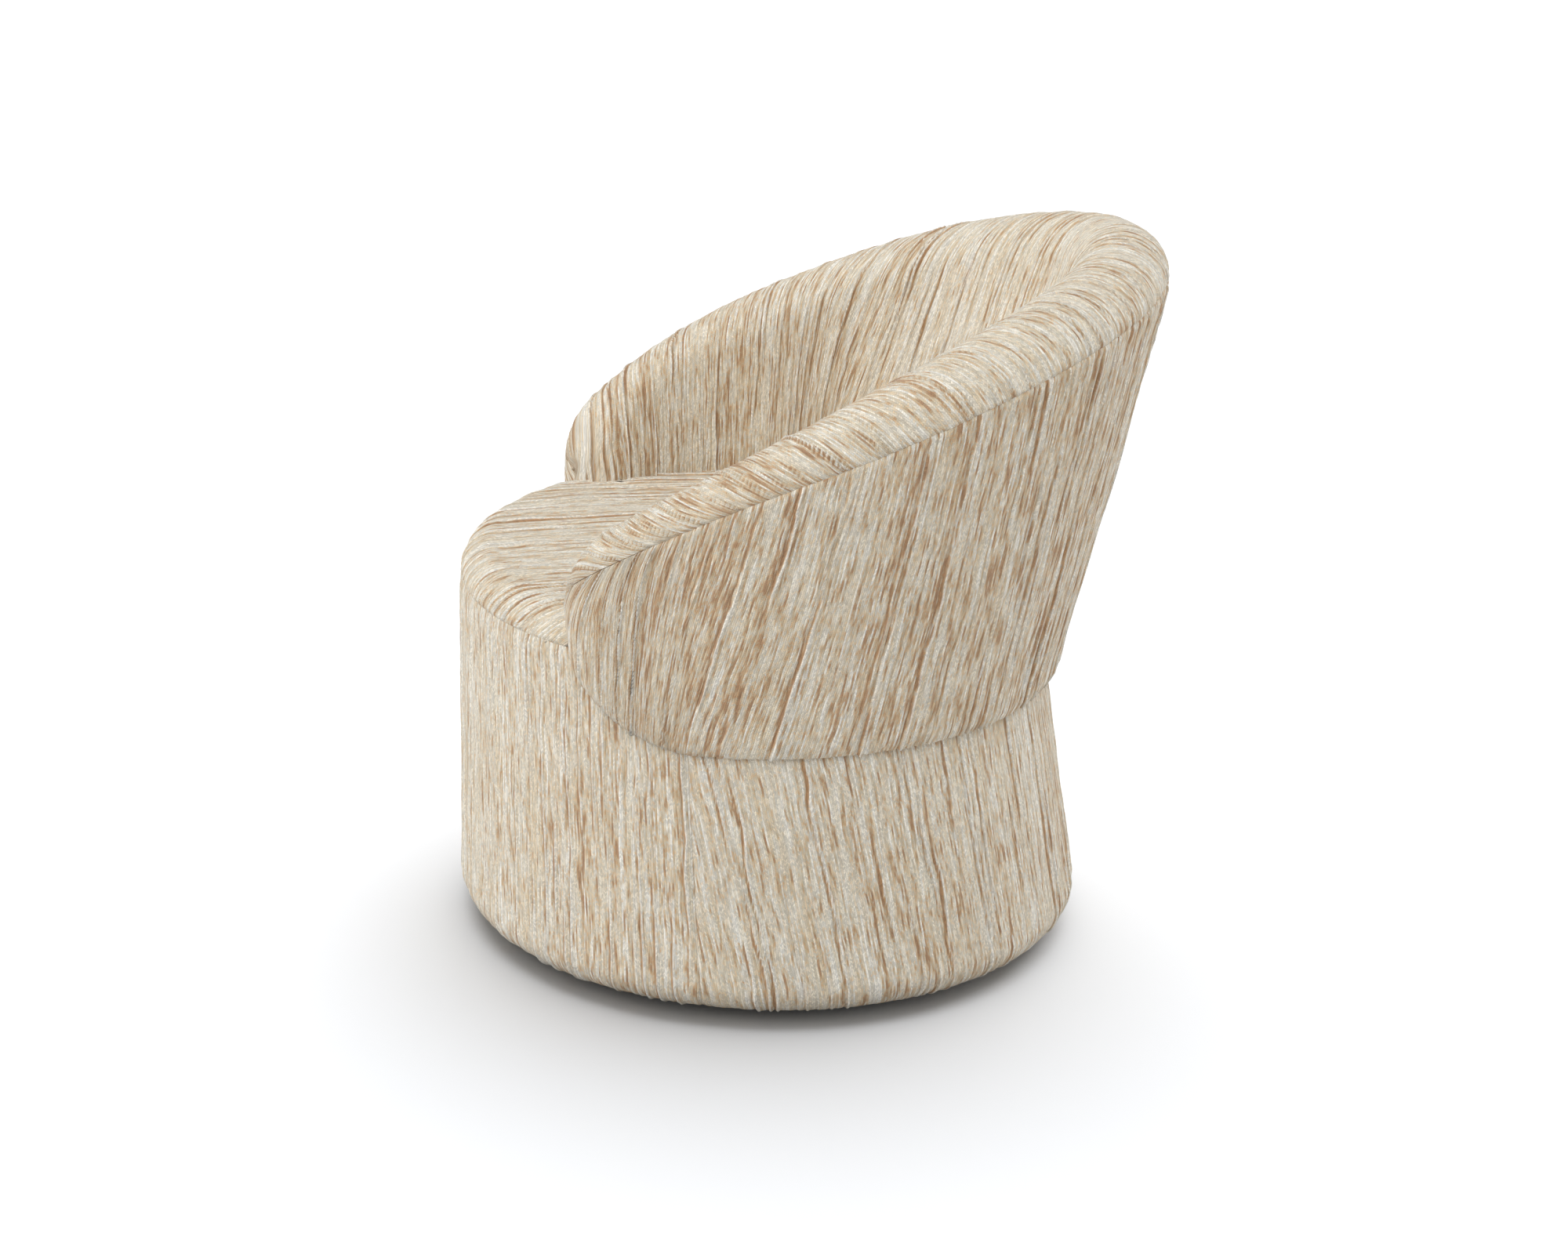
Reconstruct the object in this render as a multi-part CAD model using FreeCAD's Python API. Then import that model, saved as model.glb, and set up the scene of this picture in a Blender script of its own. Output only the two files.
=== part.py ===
import FreeCAD, Part
import math
import os

# Swivel accent chair: a padded drum and a padded wrap-round back, turning together on a ball plate.
# The origin is the swivel axis at the floor. +Z is up and the chair faces -Y. Lengths are millimetres.

# Base under the drum
felt_thickness = 3.0
felt_margin = 8.0
plinth_thickness = 18.0
plinth_clearance = 13.0
plate_radius = 152.0
plate_thickness = 2.5
ball_radius = 3.0
ball_count = 32
ball_clearance = 0.3
race_radius = 118.0
race_half_width = 8.0
race_lip = 1.0
bearing_height = 13.0
cage_thickness = 1.2
pin_radius = 8.0
pin_head_radius = 14.0
pin_head_height = 2.6
pin_clearance = 0.3
bush_wall = 3.7
head_clearance = 0.4

# Drum: circles whose centres drift forward as they rise, so the front stays upright
drum_gap = 12.0
floor_drum_radius = 330.0
seam_drum_radius = 299.0
seam_drum_shift = -32.0
seam_height = 371.0
drum_roll = 33.0
waist_drop = 88.0
board_thickness = 18.0
bottom_ring_width = 10.5
board_hole_radius = 42.0
seat_ring_width = 92.0
upright_count = 8
upright_width = 60.0
upright_depth = 32.0
dust_cover_thickness = 1.5
dust_cover_margin = 10.0

# Cloth, wadding and boards behind the cloth
cloth = 3.0
layer_gap = 0.5
wall_gap = 0.8
drum_wadding = 10.0
bent_board = 3.0
outer_wadding_thickness = 10.0
inner_foam_thickness = 16.0
rim_foam_share = 0.35
round_share = 0.5523
seam_least_share = 0.02
seam_gap_share = 0.004
layer_end_share = 0.004
lip_bend_share = 0.33

# Seat
seat_edge_roll = 34.0
seat_crown = 13.0
webbing_width = 56.0
webbing_thickness = 1.5
webbing_pitch = 68.0
webbing_count = 5
webbing_bearing = 38.0

# Wrap-round back: plan angles are measured at its own centre, from the back of the chair
shell_centre = -27.0
overhang = 9.0
back_flare = 0.225
side_flare = 0.015
crest_height = 748.0
crest_fall = 150.0
crest_power = 0.8
arm_dip = 60.0
dip_power = 5.0
arm_roll = 37.0
back_roll = 50.0
roll_swell_angle = 110.0
arm_seam_drop = 36.0
back_seam_drop = 45.0
seat_well_radius = 236.0
inner_crown = 6.0
outer_crown = 3.0
lip_height = 26.0
nose_angle = 131.6
nose_round_angle = 124.0
nose_heel_angle = 101.0
nose_rise = 46.0
cover_end_angle = 129.0
cap_end_angle = 131.3
angle_gap = 0.1
nose_clearance = 1.0
arm_seam_angle = 60.0
drum_seam_angle = 105.0
rail_width_share = 0.38
rail_below = 10.0
rail_above = 8.0
rib_pitch = 22.0
rib_count = 11
rib_thickness = 18.0

# Fasteners
bolt_radius = 4.0
bolt_head_radius = 6.5
bolt_head_height = 5.0
bolt_circle = 138.0
tee_flange_radius = 9.0
tee_flange = 1.5
tee_barrel_radius = 5.0
tee_barrel = 9.0
screw_radius = 2.0
screw_head_radius = 4.5
screw_head_height = 2.5
short_screw = 14.0
long_screw = 42.0
plate_screw_count = 8
plate_screw_circle = 142.0
frame_bolt_count = 5
frame_bolt_inset = 36.5

full_circle = 360.0
overrun = 50.0
up = FreeCAD.Vector(0, 0, 1)

# Levels and radii worked out from the sizes above
waist_height = seam_height - waist_drop
nose_height = seam_height + nose_rise
plinth_top = felt_thickness + plinth_thickness
bearing_middle = plinth_top + bearing_height / 2
board_bottom = plinth_top + bearing_height
board_top = board_bottom + board_thickness
bottom_ring_bottom = drum_gap + cloth + layer_gap
seat_ring_top = seam_height - board_thickness - layer_gap
seat_ring_bottom = seat_ring_top - board_thickness
rail_top = seat_ring_top + board_thickness
wall_offset = cloth + layer_gap + drum_wadding + wall_gap
panel_offset = cloth + 2 * layer_gap + outer_wadding_thickness
inner_panel_offset = cloth + 2 * layer_gap + inner_foam_thickness
outer_frame_offset = panel_offset + bent_board + layer_gap
inner_frame_offset = inner_panel_offset + bent_board + layer_gap
frame_bolt_circle = seat_well_radius + frame_bolt_inset
rib_half_angle = math.degrees(rib_thickness / 2 / frame_bolt_circle)


def save(name, solids):
    shape = solids[0] if len(solids) == 1 else Part.makeCompound(solids)
    shape.exportStep(os.path.join("parts", name + ".step"))


def disc(radius, bottom, top, shift=0.0):
    return Part.makeCylinder(radius, top - bottom, FreeCAD.Vector(0, shift, bottom), up)


def ring(inner, outer, bottom, top, shift=0.0):
    return disc(outer, bottom, top, shift).cut(disc(inner, bottom, top, shift))


def spread(radius, angle, height, shift=0.0):
    a = math.radians(angle)
    return FreeCAD.Vector(radius * math.sin(a), shift + radius * math.cos(a), height)


def loft(wires):
    return Part.makeLoft(wires, True, False)


# Drum outline at any height
def drum_share(height):
    return (height - drum_gap) / (seam_height - drum_gap)


def drum_radius(height):
    return floor_drum_radius + (seam_drum_radius - floor_drum_radius) * drum_share(height)


def drum_shift(height):
    return seam_drum_shift * drum_share(height)


# The boards inside the drum take their edges from its foot and its walls
foot_height = drum_gap + drum_roll
foot_shift = drum_shift(foot_height)
foot_flat_radius = drum_radius(foot_height) - drum_roll
wall_roll = drum_roll - wall_offset - bent_board
board_radius = foot_flat_radius + math.sqrt(wall_roll ** 2 - (foot_height - board_bottom) ** 2) - layer_gap
ring_outer_radius = foot_flat_radius - layer_gap
ring_opening_radius = ring_outer_radius - bottom_ring_width
plinth_radius = ring_opening_radius - plinth_clearance
felt_radius = plinth_radius - felt_margin
seat_ring_radius = drum_radius(seat_ring_top) - wall_offset - bent_board - layer_gap
seat_ring_inner_radius = seat_ring_radius - seat_ring_width
webbing_reach = seat_ring_inner_radius + webbing_bearing


def drum_body(inset, top):
    # the drum with its rounded foot, all its sides moved in by the inset
    bend = drum_roll - inset
    diagonal = bend * math.sqrt(0.5)
    low = FreeCAD.Vector(foot_flat_radius, foot_shift, foot_height - bend)
    turn = FreeCAD.Vector(foot_flat_radius + diagonal, foot_shift, foot_height - diagonal)
    side = FreeCAD.Vector(foot_flat_radius + bend, foot_shift, foot_height)
    axis_low = FreeCAD.Vector(0, foot_shift, foot_height - bend)
    axis_high = FreeCAD.Vector(0, foot_shift, foot_height)
    edges = [Part.makeLine(axis_low, low), Part.Arc(low, turn, side).toShape(),
             Part.makeLine(side, axis_high), Part.makeLine(axis_high, axis_low)]
    roll = Part.Face(Part.Wire(edges)).revolve(axis_low, up, full_circle)
    rims = [Part.Wire(Part.makeCircle(drum_radius(h) - inset, FreeCAD.Vector(0, drum_shift(h), h), up))
            for h in (foot_height, top)]
    return roll.fuse(loft(rims)).removeSplitter()


def sector(angle, bottom, top):
    # the part of the plan behind the two rays at plus and minus the angle
    reach = 3 * floor_drum_radius
    steps = [FreeCAD.Vector(0, shell_centre, bottom)]
    for share in (1.0, 0.5, 0.0, -0.5, -1.0):
        steps.append(spread(reach, angle * share, bottom, shell_centre))
    return Part.Face(Part.makePolygon(steps + steps[:1])).extrude(FreeCAD.Vector(0, 0, top - bottom))


# Back shell: everything here is worked out in the upright plane at one plan angle
def ray_to_circle(angle, radius, shift):
    a = math.radians(angle)
    return shift * math.cos(a) + math.sqrt(radius ** 2 - (shift * math.sin(a)) ** 2)


def drum_side(angle, height):
    return ray_to_circle(angle, drum_radius(height), drum_shift(height) - shell_centre)


def outer_side(angle, height):
    # half an ellipse behind the centre and half a circle before it, both wider as they rise
    rise = height - waist_height
    waist_radius = drum_radius(waist_height) + overhang
    side = waist_radius + side_flare * rise
    back = side
    if abs(angle) < 90.0:
        back = drum_shift(waist_height) - shell_centre + waist_radius + back_flare * rise
    a = math.radians(angle)
    return 1 / math.hypot(math.sin(a) / side, math.cos(a) / back)


def smooth(share):
    share = min(max(share, 0.0), 1.0)
    return share * share * (3 - 2 * share)


def quarter_turn(angle, start, end):
    # 1 up to the start, falling to 0 at the end as a quarter of an ellipse does
    share = min(max(abs(angle) - start, 0.0) / (end - start), 1.0)
    return math.sqrt(1 - share ** 2)


def full_roll(angle):
    swell = max(1 - abs(angle) / roll_swell_angle, 0.0)
    return arm_roll + (back_roll - arm_roll) * math.sin(swell * math.pi / 2)


def roll_radius(angle):
    return full_roll(angle) * quarter_turn(angle, nose_round_angle, nose_angle)


def crest(angle):
    # the rim falls from the back to the arms, dips at their ends and rounds over at the nose
    turn = 1 - math.cos(math.radians(angle))
    full_turn = 1 - math.cos(math.radians(nose_angle))
    full = crest_height - crest_fall * turn ** crest_power - arm_dip * (turn / full_turn) ** dip_power
    return nose_height + (full - nose_height) * quarter_turn(angle, nose_round_angle, nose_angle)


def low_edge(angle):
    return nose_height - (nose_height - waist_height) * quarter_turn(angle, nose_heel_angle, nose_angle)


def between(p, q, share):
    return (p[0] + (q[0] - p[0]) * share, p[1] + (q[1] - p[1]) * share)


def split(span, share):
    # the two halves of a cubic span, cut at a share of its length
    a = between(span[0], span[1], share)
    b = between(span[1], span[2], share)
    c = between(span[2], span[3], share)
    d = between(a, b, share)
    e = between(b, c, share)
    middle = between(d, e, share)
    return (span[0], a, d, middle), (middle, e, c, span[3])


def bowed(p, q, bulge):
    # a gently bowed stretch between two points; a positive bulge moves it outwards
    first = between(p, q, 1 / 3)
    second = between(p, q, 2 / 3)
    return (p, (first[0] + bulge, first[1]), (second[0] + bulge, second[1]), q)


def seam_share(angle):
    arm_share = smooth((abs(angle) - arm_seam_angle) / (nose_heel_angle - arm_seam_angle))
    drop = back_seam_drop + (arm_seam_drop - back_seam_drop) * arm_share
    return math.asin(max(1 - drop / full_roll(angle), seam_least_share)) * 2 / math.pi


def outline(angle, inset, foot_height=seat_ring_top):
    # the cubic spans and corners of the padded section, all its faces moved in by the inset
    full = full_roll(angle)
    wide = roll_radius(angle) - inset
    centre_z = crest(angle) - roll_radius(angle)
    centre_r = outer_side(angle, centre_z) - full
    lean = math.atan((outer_side(angle, centre_z) - outer_side(angle, centre_z - full)) / full)
    narrowed = full - roll_radius(angle)
    shrink = narrowed + inset / math.cos(lean)
    low = low_edge(angle)
    lip = low + lip_height
    bend = lip_bend_share * lip_height
    top_out = (centre_r + wide, centre_z)
    top_in = (centre_r - wide, centre_z)
    peak = (centre_r, centre_z + wide)
    foot_in = (seat_well_radius + narrowed + inset, seat_ring_top)
    lip_out = (outer_side(angle, lip) - shrink, lip)
    lip_in = (drum_side(angle, low) + layer_gap, low + inset)
    inner_lean = math.atan2(top_in[0] - foot_in[0], top_in[1] - foot_in[1])
    pull = round_share * wide
    over = (top_out, (top_out[0] + math.sin(lean) * pull, top_out[1] + math.cos(lean) * pull),
            (peak[0] + pull, peak[1]), peak)
    inner_over = (peak, (peak[0] - pull, peak[1]),
                  (top_in[0] + math.sin(inner_lean) * pull, top_in[1] + math.cos(inner_lean) * pull), top_in)
    side = bowed(lip_out, top_out, outer_crown)
    wall = split(side, max(foot_height - lip, 0.0) / (centre_z - lip))[1]
    inner = bowed(top_in, foot_in, -inner_crown)
    inner = split(inner, (centre_z - foot_height) / (centre_z - seat_ring_top))[0]
    return {
        "lip": (lip_in, (lip_in[0] + bend, lip_in[1]), (lip_out[0], lip_out[1] - bend), lip_out),
        "side": side,
        "wall": wall,
        "below_seam": split(over, seam_share(angle) - seam_gap_share)[0],
        "above_seam": split(over, seam_share(angle) + seam_gap_share)[1],
        "over": over,
        "inner_over": inner_over,
        "inner": inner,
        "outer_layer": split(wall, 1 - layer_end_share)[0],
        "inner_layer": split(inner, layer_end_share)[1],
        "centre": (centre_r, centre_z),
        "foot_in": inner[3],
        "foot_out": wall[0],
    }


def place(angle, point):
    return spread(point[0], angle, point[1], shell_centre)


def wire(angle, runs):
    # each run is two points for a line, or four poles for a cubic span
    edges = []
    for run in runs:
        spots = [place(angle, p) for p in run]
        if len(spots) == 2:
            edges.append(Part.makeLine(spots[0], spots[1]))
        else:
            curve = Part.BezierCurve()
            curve.setPoles(spots)
            edges.append(curve.toShape())
    return Part.Wire(edges)


def band(angle, outer, inner):
    # a closed band: along the outer spans, across, back along the inner spans, and across
    back = [run[::-1] for run in reversed(inner)]
    ends = [(outer[-1][-1], back[0][0])]
    return wire(angle, list(outer) + ends + back + [(back[-1][-1], outer[0][0])])


def angles(first, last, count):
    return [first + (last - first) * i / (count - 1) for i in range(count)]


frame_end_angle = nose_round_angle
back_stations = (0.0, 14.0, 28.0, 41.0, 51.0, 57.0)
arm_stations = (arm_seam_angle, 63.0, 69.0, 78.0, 89.0, nose_heel_angle, 110.0, 117.5, 122.0, frame_end_angle)
half_stations = back_stations + arm_stations
whole_stations = [-a for a in half_stations[:0:-1]] + list(half_stations)
end_stations = angles(frame_end_angle, cover_end_angle, 5)[1:]
cover_stations = [-a for a in end_stations[::-1]] + whole_stations + end_stations


def layer(angle, near, far, names):
    # the band between two insets along the named stretches of the section
    a = outline(angle, near)
    b = outline(angle, far)
    return band(angle, [a[name] for name in names], [b[name] for name in names])


def outer_cover_wire(angle):
    return layer(angle, 0.0, cloth, ("lip", "side", "below_seam"))


def inner_cover_wire(angle):
    return layer(angle, 0.0, cloth, ("above_seam", "inner_over", "inner"))


def rim_foam_wire(angle):
    near = cloth + layer_gap
    return layer(angle, near, near + rim_foam_share * roll_radius(angle), ("over", "inner_over"))


def inner_layer_wire(angle, near, far):
    return layer(angle, near, far, ("inner_layer",))


def outer_layer_wire(angle, near, far):
    return layer(angle, near, far, ("outer_layer",))


def full_wire(angle, inset, bottom):
    # the whole padded section above the given height
    a = outline(angle, inset, bottom)
    return wire(angle, [a["wall"], a["over"], a["inner_over"], a["inner"], (a["foot_in"], a["foot_out"])])


def ring_of_lines(angle, spots):
    return wire(angle, [(spots[i], spots[(i + 1) % len(spots)]) for i in range(len(spots))])


def skirt_wire(angle):
    top = seat_ring_top - layer_gap
    low = low_edge(angle) + cloth + layer_gap
    lip = low_edge(angle) + lip_height
    side = cloth + layer_gap
    bend = lip_bend_share * lip_height
    return ring_of_lines(angle, [(drum_side(angle, low) + layer_gap, low),
                                 (outer_side(angle, low) - side - bend, low),
                                 (outer_side(angle, lip) - side, lip),
                                 (outer_side(angle, top) - side, top),
                                 (drum_side(angle, top) + layer_gap, top)])


def frame_edges(angle):
    # where the wooden frame stands clear of the boards: its foot, the top of the bottom rail, its head
    a = outline(angle, inner_frame_offset)
    b = outline(angle, outer_frame_offset)
    low_in = a["foot_in"]
    high_in = between(low_in, a["inner"][0], (rail_top - low_in[1]) / (a["inner"][0][1] - low_in[1]))
    centre_r, centre_z = a["centre"]
    middle = centre_r + (inner_frame_offset - outer_frame_offset) / 2
    half = rail_width_share * roll_radius(angle)
    return low_in[0], high_in[0], b["foot_out"][0], middle - half, middle + half, centre_z


def bottom_rail_wire(angle):
    low_in, high_in, out = frame_edges(angle)[:3]
    return ring_of_lines(angle, [(low_in, seat_ring_top), (out, seat_ring_top),
                                 (out, rail_top), (high_in, rail_top)])


def top_rail_wire(angle):
    near, far, middle = frame_edges(angle)[3:]
    return ring_of_lines(angle, [(near, middle - rail_below), (far, middle - rail_below),
                                 (far, middle + rail_above), (near, middle + rail_above)])


def rib_wire(angle):
    # a rib stands on the bottom rail and reaches up to the top rail
    _, high_in, out, near, far, middle = frame_edges(angle)
    head = middle - rail_below - layer_gap
    return ring_of_lines(angle, [(high_in + layer_gap, rail_top), (out - layer_gap, rail_top),
                                 (far, head), (near, head)])


# Fasteners
def bolt(spot, direction, length):
    under = spot - direction * bolt_head_height
    head = Part.makeCylinder(bolt_head_radius, bolt_head_height, under, direction)
    return head.fuse(Part.makeCylinder(bolt_radius, length, spot, direction)).removeSplitter()


def tee_nut(spot, direction):
    # the flange lies on the board and the barrel goes back into it
    flange = Part.makeCylinder(tee_flange_radius, tee_flange, spot, direction)
    barrel = Part.makeCylinder(tee_barrel_radius, tee_barrel, spot - direction * tee_barrel, direction)
    bore = Part.makeCylinder(bolt_radius, tee_barrel + tee_flange, spot - direction * tee_barrel, direction)
    return flange.fuse(barrel).removeSplitter().cut(bore)


def screw(spot, direction, length):
    # a countersunk wood screw whose flat head lies at the spot
    head = Part.makeCone(screw_head_radius, screw_radius, screw_head_height, spot, direction)
    return head.fuse(Part.makeCylinder(screw_radius, length, spot, direction)).removeSplitter()


def circle_spots(radius, count, height, start=0.0, shift=0.0):
    return [spread(radius, start + full_circle * i / count, height, shift) for i in range(count)]


def drill(body, tools):
    for tool in tools:
        body = body.cut(tool)
    return body


def make_base():
    felt = disc(felt_radius, 0.0, felt_thickness)
    plinth = disc(plinth_radius, felt_thickness, plinth_top)
    screws = [screw(p, -up, short_screw)
              for p in circle_spots(plate_screw_circle, plate_screw_count, plinth_top + plate_thickness)]
    race_top = bearing_middle - race_lip
    plate = disc(plate_radius, plinth_top, plinth_top + plate_thickness)
    plate = plate.fuse(ring(race_radius - race_half_width, race_radius + race_half_width,
                            plinth_top + plate_thickness, race_top)).removeSplitter()
    middle = FreeCAD.Vector(0, 0, bearing_middle)
    groove = Part.makeTorus(race_radius, ball_radius + ball_clearance, middle, up)
    pin_top = board_bottom + head_clearance
    pin = disc(pin_radius, plinth_top, pin_top)
    head = disc(pin_head_radius, pin_top, pin_top + pin_head_height)
    plate = drill(plate.cut(groove).cut(disc(pin_radius, 0.0, pin_top)), screws)
    save("base_felt", [felt])
    save("plinth_disc", [drill(plinth, screws)])
    save("swivel_lower_plate", [plate])
    save("lower_plate_screws", screws)
    save("king_pin", [pin.fuse(head).removeSplitter()])


def make_bearing():
    balls = [Part.makeSphere(ball_radius, p) for p in circle_spots(race_radius, ball_count, bearing_middle)]
    seats = [Part.makeSphere(ball_radius + ball_clearance, p)
             for p in circle_spots(race_radius, ball_count, bearing_middle)]
    cage = ring(race_radius - race_half_width, race_radius + race_half_width,
                bearing_middle - cage_thickness / 2, bearing_middle + cage_thickness / 2)
    save("bearing_balls", balls)
    save("ball_cage", [drill(cage, seats)])


def make_upper_plate():
    plate_bottom = board_bottom - plate_thickness
    plate = disc(plate_radius, plate_bottom, board_bottom)
    plate = plate.fuse(ring(race_radius - race_half_width, race_radius + race_half_width,
                            bearing_middle + race_lip, plate_bottom)).removeSplitter()
    middle = FreeCAD.Vector(0, 0, bearing_middle)
    groove = Part.makeTorus(race_radius, ball_radius + ball_clearance, middle, up)
    bush_radius = pin_radius + pin_clearance + bush_wall
    length = board_top + tee_flange - plate_bottom
    bolts = [bolt(p, up, length) for p in circle_spots(bolt_circle, 4, plate_bottom, 45.0)]
    nuts = [tee_nut(p, up) for p in circle_spots(bolt_circle, 4, board_top, 45.0)]
    plate = drill(plate.cut(groove).cut(disc(bush_radius, 0.0, board_bottom)), bolts)
    save("swivel_upper_plate", [plate])
    save("king_pin_bush", [ring(pin_radius + pin_clearance, bush_radius, plate_bottom, board_bottom)])
    save("upper_plate_bolts", bolts)
    save("upper_plate_tee_nuts", nuts)
    return bolts + nuts


def upright(angle, tools_low, tools_high):
    # a post that leans with the drum wall, from the base board to the seat ring
    wires = []
    for height in (board_top, seat_ring_bottom):
        outer = drum_radius(height) - wall_offset - bent_board - layer_gap
        outer = math.sqrt(outer ** 2 - (upright_width / 2) ** 2) - layer_gap
        shift = drum_shift(height)
        out = spread(1.0, angle, 0.0)
        side = spread(1.0, angle + 90.0, 0.0)
        middle = FreeCAD.Vector(0, shift, height)
        corners = [middle + out * outer + side * (upright_width / 2),
                   middle + out * outer - side * (upright_width / 2),
                   middle + out * (outer - upright_depth) - side * (upright_width / 2),
                   middle + out * (outer - upright_depth) + side * (upright_width / 2)]
        wires.append(Part.makePolygon(corners + corners[:1]))
        spot = middle + out * (outer - upright_depth / 2)
        if height == board_top:
            tools_low.append(screw(spot - up * board_thickness, up, long_screw))
        else:
            tools_high.append(screw(spot + up * board_thickness, -up, long_screw))
    return Part.makeLoft(wires, True, True)


def make_drum(plate_tools):
    low_screws = []
    high_screws = []
    posts = [upright(full_circle * (i + 0.5) / upright_count, low_screws, high_screws)
             for i in range(upright_count)]
    posts = [posts[i].cut(low_screws[i]).cut(high_screws[i]) for i in range(upright_count)]
    ring_middle = (ring_opening_radius + ring_outer_radius) / 2
    ring_screws = [screw(p, up, board_bottom - bottom_ring_bottom + short_screw)
                   for p in circle_spots(ring_middle, upright_count, bottom_ring_bottom, 0.0, foot_shift)]
    bottom_ring = ring(ring_opening_radius, ring_outer_radius, bottom_ring_bottom, board_bottom, foot_shift)
    board = disc(board_radius, board_bottom, board_top, foot_shift)
    board = board.cut(disc(board_hole_radius, board_bottom, board_top))
    dust_bottom = board_bottom - dust_cover_thickness
    dust = disc(ring_opening_radius - layer_gap, dust_bottom, board_bottom, foot_shift)
    dust = dust.cut(disc(plate_radius + dust_cover_margin, dust_bottom, board_bottom))
    seat_ring = ring(seat_ring_inner_radius, seat_ring_radius, seat_ring_bottom, seat_ring_top,
                     drum_shift(seat_ring_top))
    save("drum_bottom_ring", [drill(bottom_ring, ring_screws)])
    save("drum_base_board", [drill(board, low_screws + ring_screws + plate_tools)])
    save("drum_uprights", posts)
    save("upright_screws", low_screws + high_screws)
    save("bottom_ring_screws", ring_screws)
    save("base_dust_cover", [dust])
    return seat_ring, high_screws


def make_drum_skins():
    well = disc(ring_opening_radius, 0.0, foot_height, foot_shift)
    beyond = seam_height + overrun
    wall = drum_body(wall_offset, seat_ring_top).cut(drum_body(wall_offset + bent_board, beyond))
    wall = wall.cut(disc(floor_drum_radius, 0.0, board_bottom))
    wadding = drum_body(cloth + layer_gap, seat_ring_top).cut(drum_body(wall_offset - wall_gap, beyond))
    wadding = wadding.cut(disc(ring_outer_radius + layer_gap, 0.0, board_bottom, foot_shift))
    under_shell = waist_height + lip_height
    back = drum_body(0.0, under_shell).cut(drum_body(cloth, beyond)).cut(well)
    front = drum_body(0.0, seat_ring_top - layer_gap).cut(drum_body(cloth, beyond)).cut(well)
    head = drum_body(0.0, seam_height).cut(drum_body(cloth, beyond))
    head = head.cut(disc(2 * floor_drum_radius, 0.0, seat_ring_top - layer_gap))
    behind = sector(drum_seam_angle, 0.0, beyond)
    behind_nose = sector(nose_angle + nose_clearance, 0.0, beyond)
    front = front.cut(behind).fuse(head.cut(behind_nose)).removeSplitter()
    save("drum_wall", [wall])
    save("drum_wadding", [wadding])
    save("drum_back_cover", [back.common(behind)])
    save("drum_front_cover", [front])


def seat_body(inset, bottom):
    # the round seat with its rolled edge and shallow dome, its top and sides moved in by the inset
    radius = seam_drum_radius - inset
    roll = seat_edge_roll - inset
    flat = radius - roll
    edge = seam_height + roll
    dome = (flat ** 2 + seat_crown ** 2) / (2 * seat_crown)
    dome_middle = edge + seat_crown - dome

    def spot(away, height):
        return FreeCAD.Vector(0, seam_drum_shift - away, height)

    peak = spot(0.0, edge + seat_crown)
    half = spot(flat / 2, dome_middle + math.sqrt(dome ** 2 - (flat / 2) ** 2))
    turn = spot(flat + roll * math.sqrt(0.5), seam_height + roll * math.sqrt(0.5))
    edges = [Part.makeLine(spot(0.0, bottom), spot(radius, bottom))]
    if bottom < seam_height:
        edges.append(Part.makeLine(spot(radius, bottom), spot(radius, seam_height)))
    edges += [Part.Arc(spot(radius, seam_height), turn, spot(flat, edge)).toShape(),
              Part.Arc(spot(flat, edge), half, peak).toShape(),
              Part.makeLine(peak, spot(0.0, bottom))]
    return Part.Face(Part.Wire(edges)).revolve(peak, up, full_circle)


def make_seat():
    web_top = seat_ring_top + 2 * webbing_thickness + layer_gap
    beyond = seam_height + overrun + seat_edge_roll
    well = disc(seat_well_radius - inner_crown - layer_gap, 0.0, beyond, shell_centre)
    shell_space = sector(nose_angle + nose_clearance, 0.0, beyond).cut(well)
    skin = seat_body(0.0, seam_height).cut(seat_body(cloth, seat_ring_top))
    foam = seat_body(cloth + layer_gap, web_top + layer_gap)
    strips = []
    crossing = []
    for i in range(webbing_count):
        away = (i - (webbing_count - 1) / 2) * webbing_pitch
        half = math.sqrt(webbing_reach ** 2 - (abs(away) + webbing_width / 2) ** 2)
        strips.append(Part.makeBox(webbing_width, 2 * half, webbing_thickness, FreeCAD.Vector(
            away - webbing_width / 2, seam_drum_shift - half, seat_ring_top)))
        crossing.append(Part.makeBox(2 * half, webbing_width, webbing_thickness, FreeCAD.Vector(
            -half, seam_drum_shift + away - webbing_width / 2, web_top - webbing_thickness)))
    save("seat_cover", [skin.cut(shell_space)])
    save("seat_foam", [foam.cut(shell_space)])
    save("webbing_fore_aft", strips)
    save("webbing_cross", crossing)


def make_shell_covers():
    save("outer_back_cover", [loft([outer_cover_wire(a) for a in cover_stations])])
    seam_gap = angle_gap / 2
    half = list(back_stations) + [arm_seam_angle - seam_gap]
    save("inner_back_cover", [loft([inner_cover_wire(a) for a in [-a for a in half[:0:-1]] + half])])
    for side, hand in (("left", -1), ("right", 1)):
        steps = [arm_seam_angle + seam_gap] + list(arm_stations[1:]) + end_stations
        sleeve = loft([inner_cover_wire(hand * a) for a in steps])
        ends = angles(cover_end_angle, cap_end_angle, 3)
        cap = loft([full_wire(hand * a, 0.0, max(seat_ring_top, low_edge(a))) for a in ends])
        save("arm_cover_" + side, [sleeve.fuse(cap).removeSplitter()])


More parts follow.
